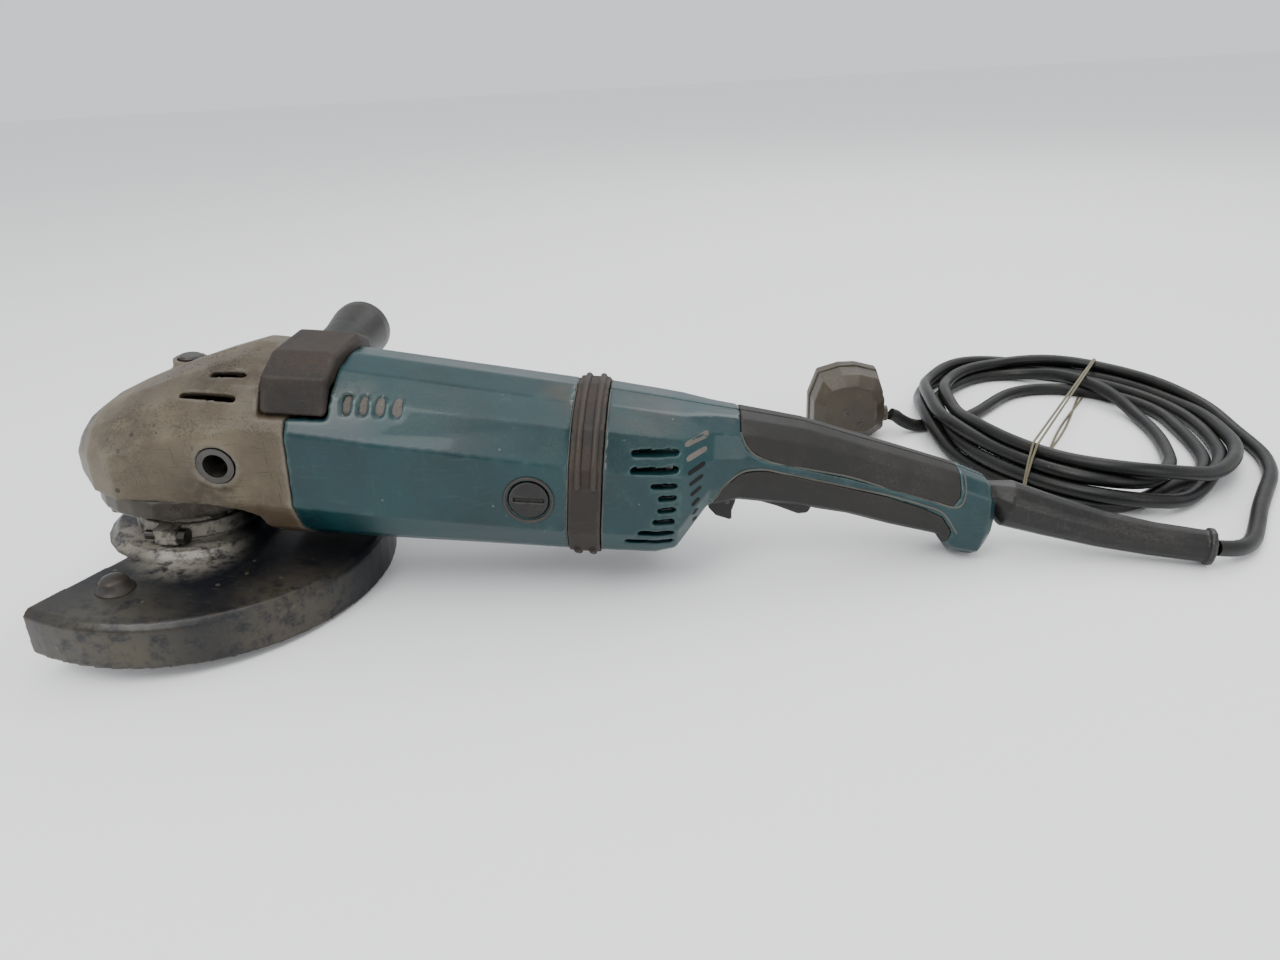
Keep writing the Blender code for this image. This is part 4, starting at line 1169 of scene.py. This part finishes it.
def coil_band(line, material):
    """The tan rubber band: two strands pulled tight over the coil and back underneath it."""
    along = np.array((math.cos(BAND_TURN), math.sin(BAND_TURN)))
    across = np.array((-along[1], along[0]))
    points = line[:, :2] / MM - np.array(BAND_MIDDLE)
    travel, offset = points @ along, points @ across
    reach = CORD_D / 2 + BAND_GAP
    places = np.linspace(-BAND_HALF, BAND_HALF, 90)
    runs = []
    for phase in (0.0, math.pi):
        tops = []
        for place in places:
            away = np.hypot(travel - place, offset - sway(place, phase))
            hit = away < reach
            rise = np.sqrt(np.maximum(reach**2 - away[hit] ** 2, 0))
            tops.append((line[hit, 2] / MM + rise).max() if hit.any() else 1.0)
        tops = np.array(tops)
        over = [(places[k], sway(places[k], phase), tops[k] + 0.3) for k in pulled_tight(places, tops)]
        far, near = over[-1], over[0]
        down = [(far[0] + 1.2, far[1], far[2] * 0.5), (far[0] + 0.3, far[1], 0.9)]
        back = [(p, sway(p, phase), BAND_UNDER) for p in np.linspace(far[0] - 3, near[0] + 3, 30)]
        up = [(near[0] - 0.3, near[1], 0.9), (near[0] - 1.2, near[1], near[2] * 0.5)]
        ring = np.array(over + down + back + up)
        ring = even(np.vstack([ring, ring[:1]]), 1.5)[:-1]
        flat = np.array(BAND_MIDDLE) + ring[:, :1] * along + ring[:, 1:2] * across
        runs.append(np.column_stack([flat, ring[:, 2]]) * MM)
    band = rounded_rod("coil_band", runs, BAND_R, material, closed=True)
    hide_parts("hank_tie")


def finish_the_rest(finishes):
    """Gives every CAD node that still shows the finish with the name of its material slot."""
    for name, node in frame["nodes"].items():
        if node.hide_render:
            continue
        for slot in node.material_slots:
            key = (slot.material.name if slot.material else "steel").split(".")[0]
            slot.material = finishes.get(key, finishes["steel"])


# The raised ring round each brush cap: its middle, its radius and half its thickness.
CAP_MIDDLE = (186, 46.2, 0)
CAP_RING_R = 11.6
CAP_RING_THICK = 0.9


def add_details(shells, finishes):
    """Dust, vents (the open ones as dark strips of painted shade), ribs and rings on the shells, the guard's
    stop and the thread of the left handle bush.
    """
    packed_dust(finishes["caulk"])
    hard_shell = [shells["handle_left"], shells["handle_right"]]
    band_ribs([shells["housing_band"], shells["motor_housing"], *hard_shell], finishes)
    slanted = []
    for k in range(SLANTED_VENTS):
        front = (SLANT_FRONT[0] + SLANT_FRONT_STEP[0] * k, SLANT_FRONT[1] + SLANT_FRONT_STEP[1] * k)
        back = (SLANT_BACK[0] + SLANT_BACK_STEP[0] * k, SLANT_BACK[1] + SLANT_BACK_STEP[1] * k)
        slanted.append((front, back))
    strips("filled_vents", hard_shell, slanted[:FILLED_VENTS], FILLED_WIDE, finishes["caulk"])
    # The open vents: dark strips laid on the shell as painted shade for the slots.
    strips("slanted_vent_shade", hard_shell, slanted[FILLED_VENTS:], SLANTED_WIDE, finishes["dark"])
    rings = [circle(CAP_MIDDLE, CAP_RING_R, side) for side in (-1, 1)]
    rounded_rod("brush_cap_rings", rings, CAP_RING_THICK, finishes["black_plastic"], closed=True)
    guard_stop(finishes["guard"])
    rounded_rod("bush_thread", [thread_line()], THREAD_RIDGE, finishes["steel"], resolution=2)


# Screws in the plug's cover, as (x from its middle, height) in metres, and in the handle, as (x, z).
PLUG_SCREWS = ((-0.004, 0.024), (0.006, 0.014))
SHELL_SCREWS = ((236, 30), (236, -34), (282, 0), (345, 2), (408, -8))


def add_screws(shells, material):
    """Two screws in the plug's cover, and those that hold the handle's halves, driven from the far side."""
    tree = screw_tree()
    to_machine = MACHINE.inverted()
    turn = MACHINE.to_3x3().normalized()
    low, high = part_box("plug_cover")
    middle = (low[0] + high[0]) / 2
    front = low[1] + 0.0004
    outward = turn.inverted() @ Vector((0, -1, 0))
    heads = [(to_machine @ Vector((middle + x, front, z)), outward) for x, z in PLUG_SCREWS]
    screws("plug_screws", tree, heads, "housing", material, radius=2.6, height=1.4)
    heads = []
    for x, z in SHELL_SCREWS:
        found = surface_point(shells, MACHINE @ Vector((x, BESIDE, z)), turn @ Vector((0, -1, 0)))
        if found:
            heads.append((to_machine @ found[0], turn.inverted() @ found[1]))
    screws("shell_screws", tree, heads, "housing", material, radius=3.4, height=1.2)


def main():
    """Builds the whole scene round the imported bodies."""
    studio()
    finishes = make_finishes()
    cord, line, length = make_cord(finishes["cord"])
    coil_band(line, finishes["band"])
    coarse = 1.0
    shells = {}
    for node, slot, body, voxel, rounds in MOULDED:
        shells[node] = moulded(node, finishes[slot], body, voxel * coarse, rounds)
    clear_lock_bore(shells["gear_case"])
    sides = [shells[name] for name in shells if name.startswith(("handle_", "upper_grip", "lower_grip"))]
    grip_lines(sides, finishes["outline"])
    add_details(shells, finishes)
    add_screws(sides, finishes["steel"])
    finish_the_rest(finishes)


main()
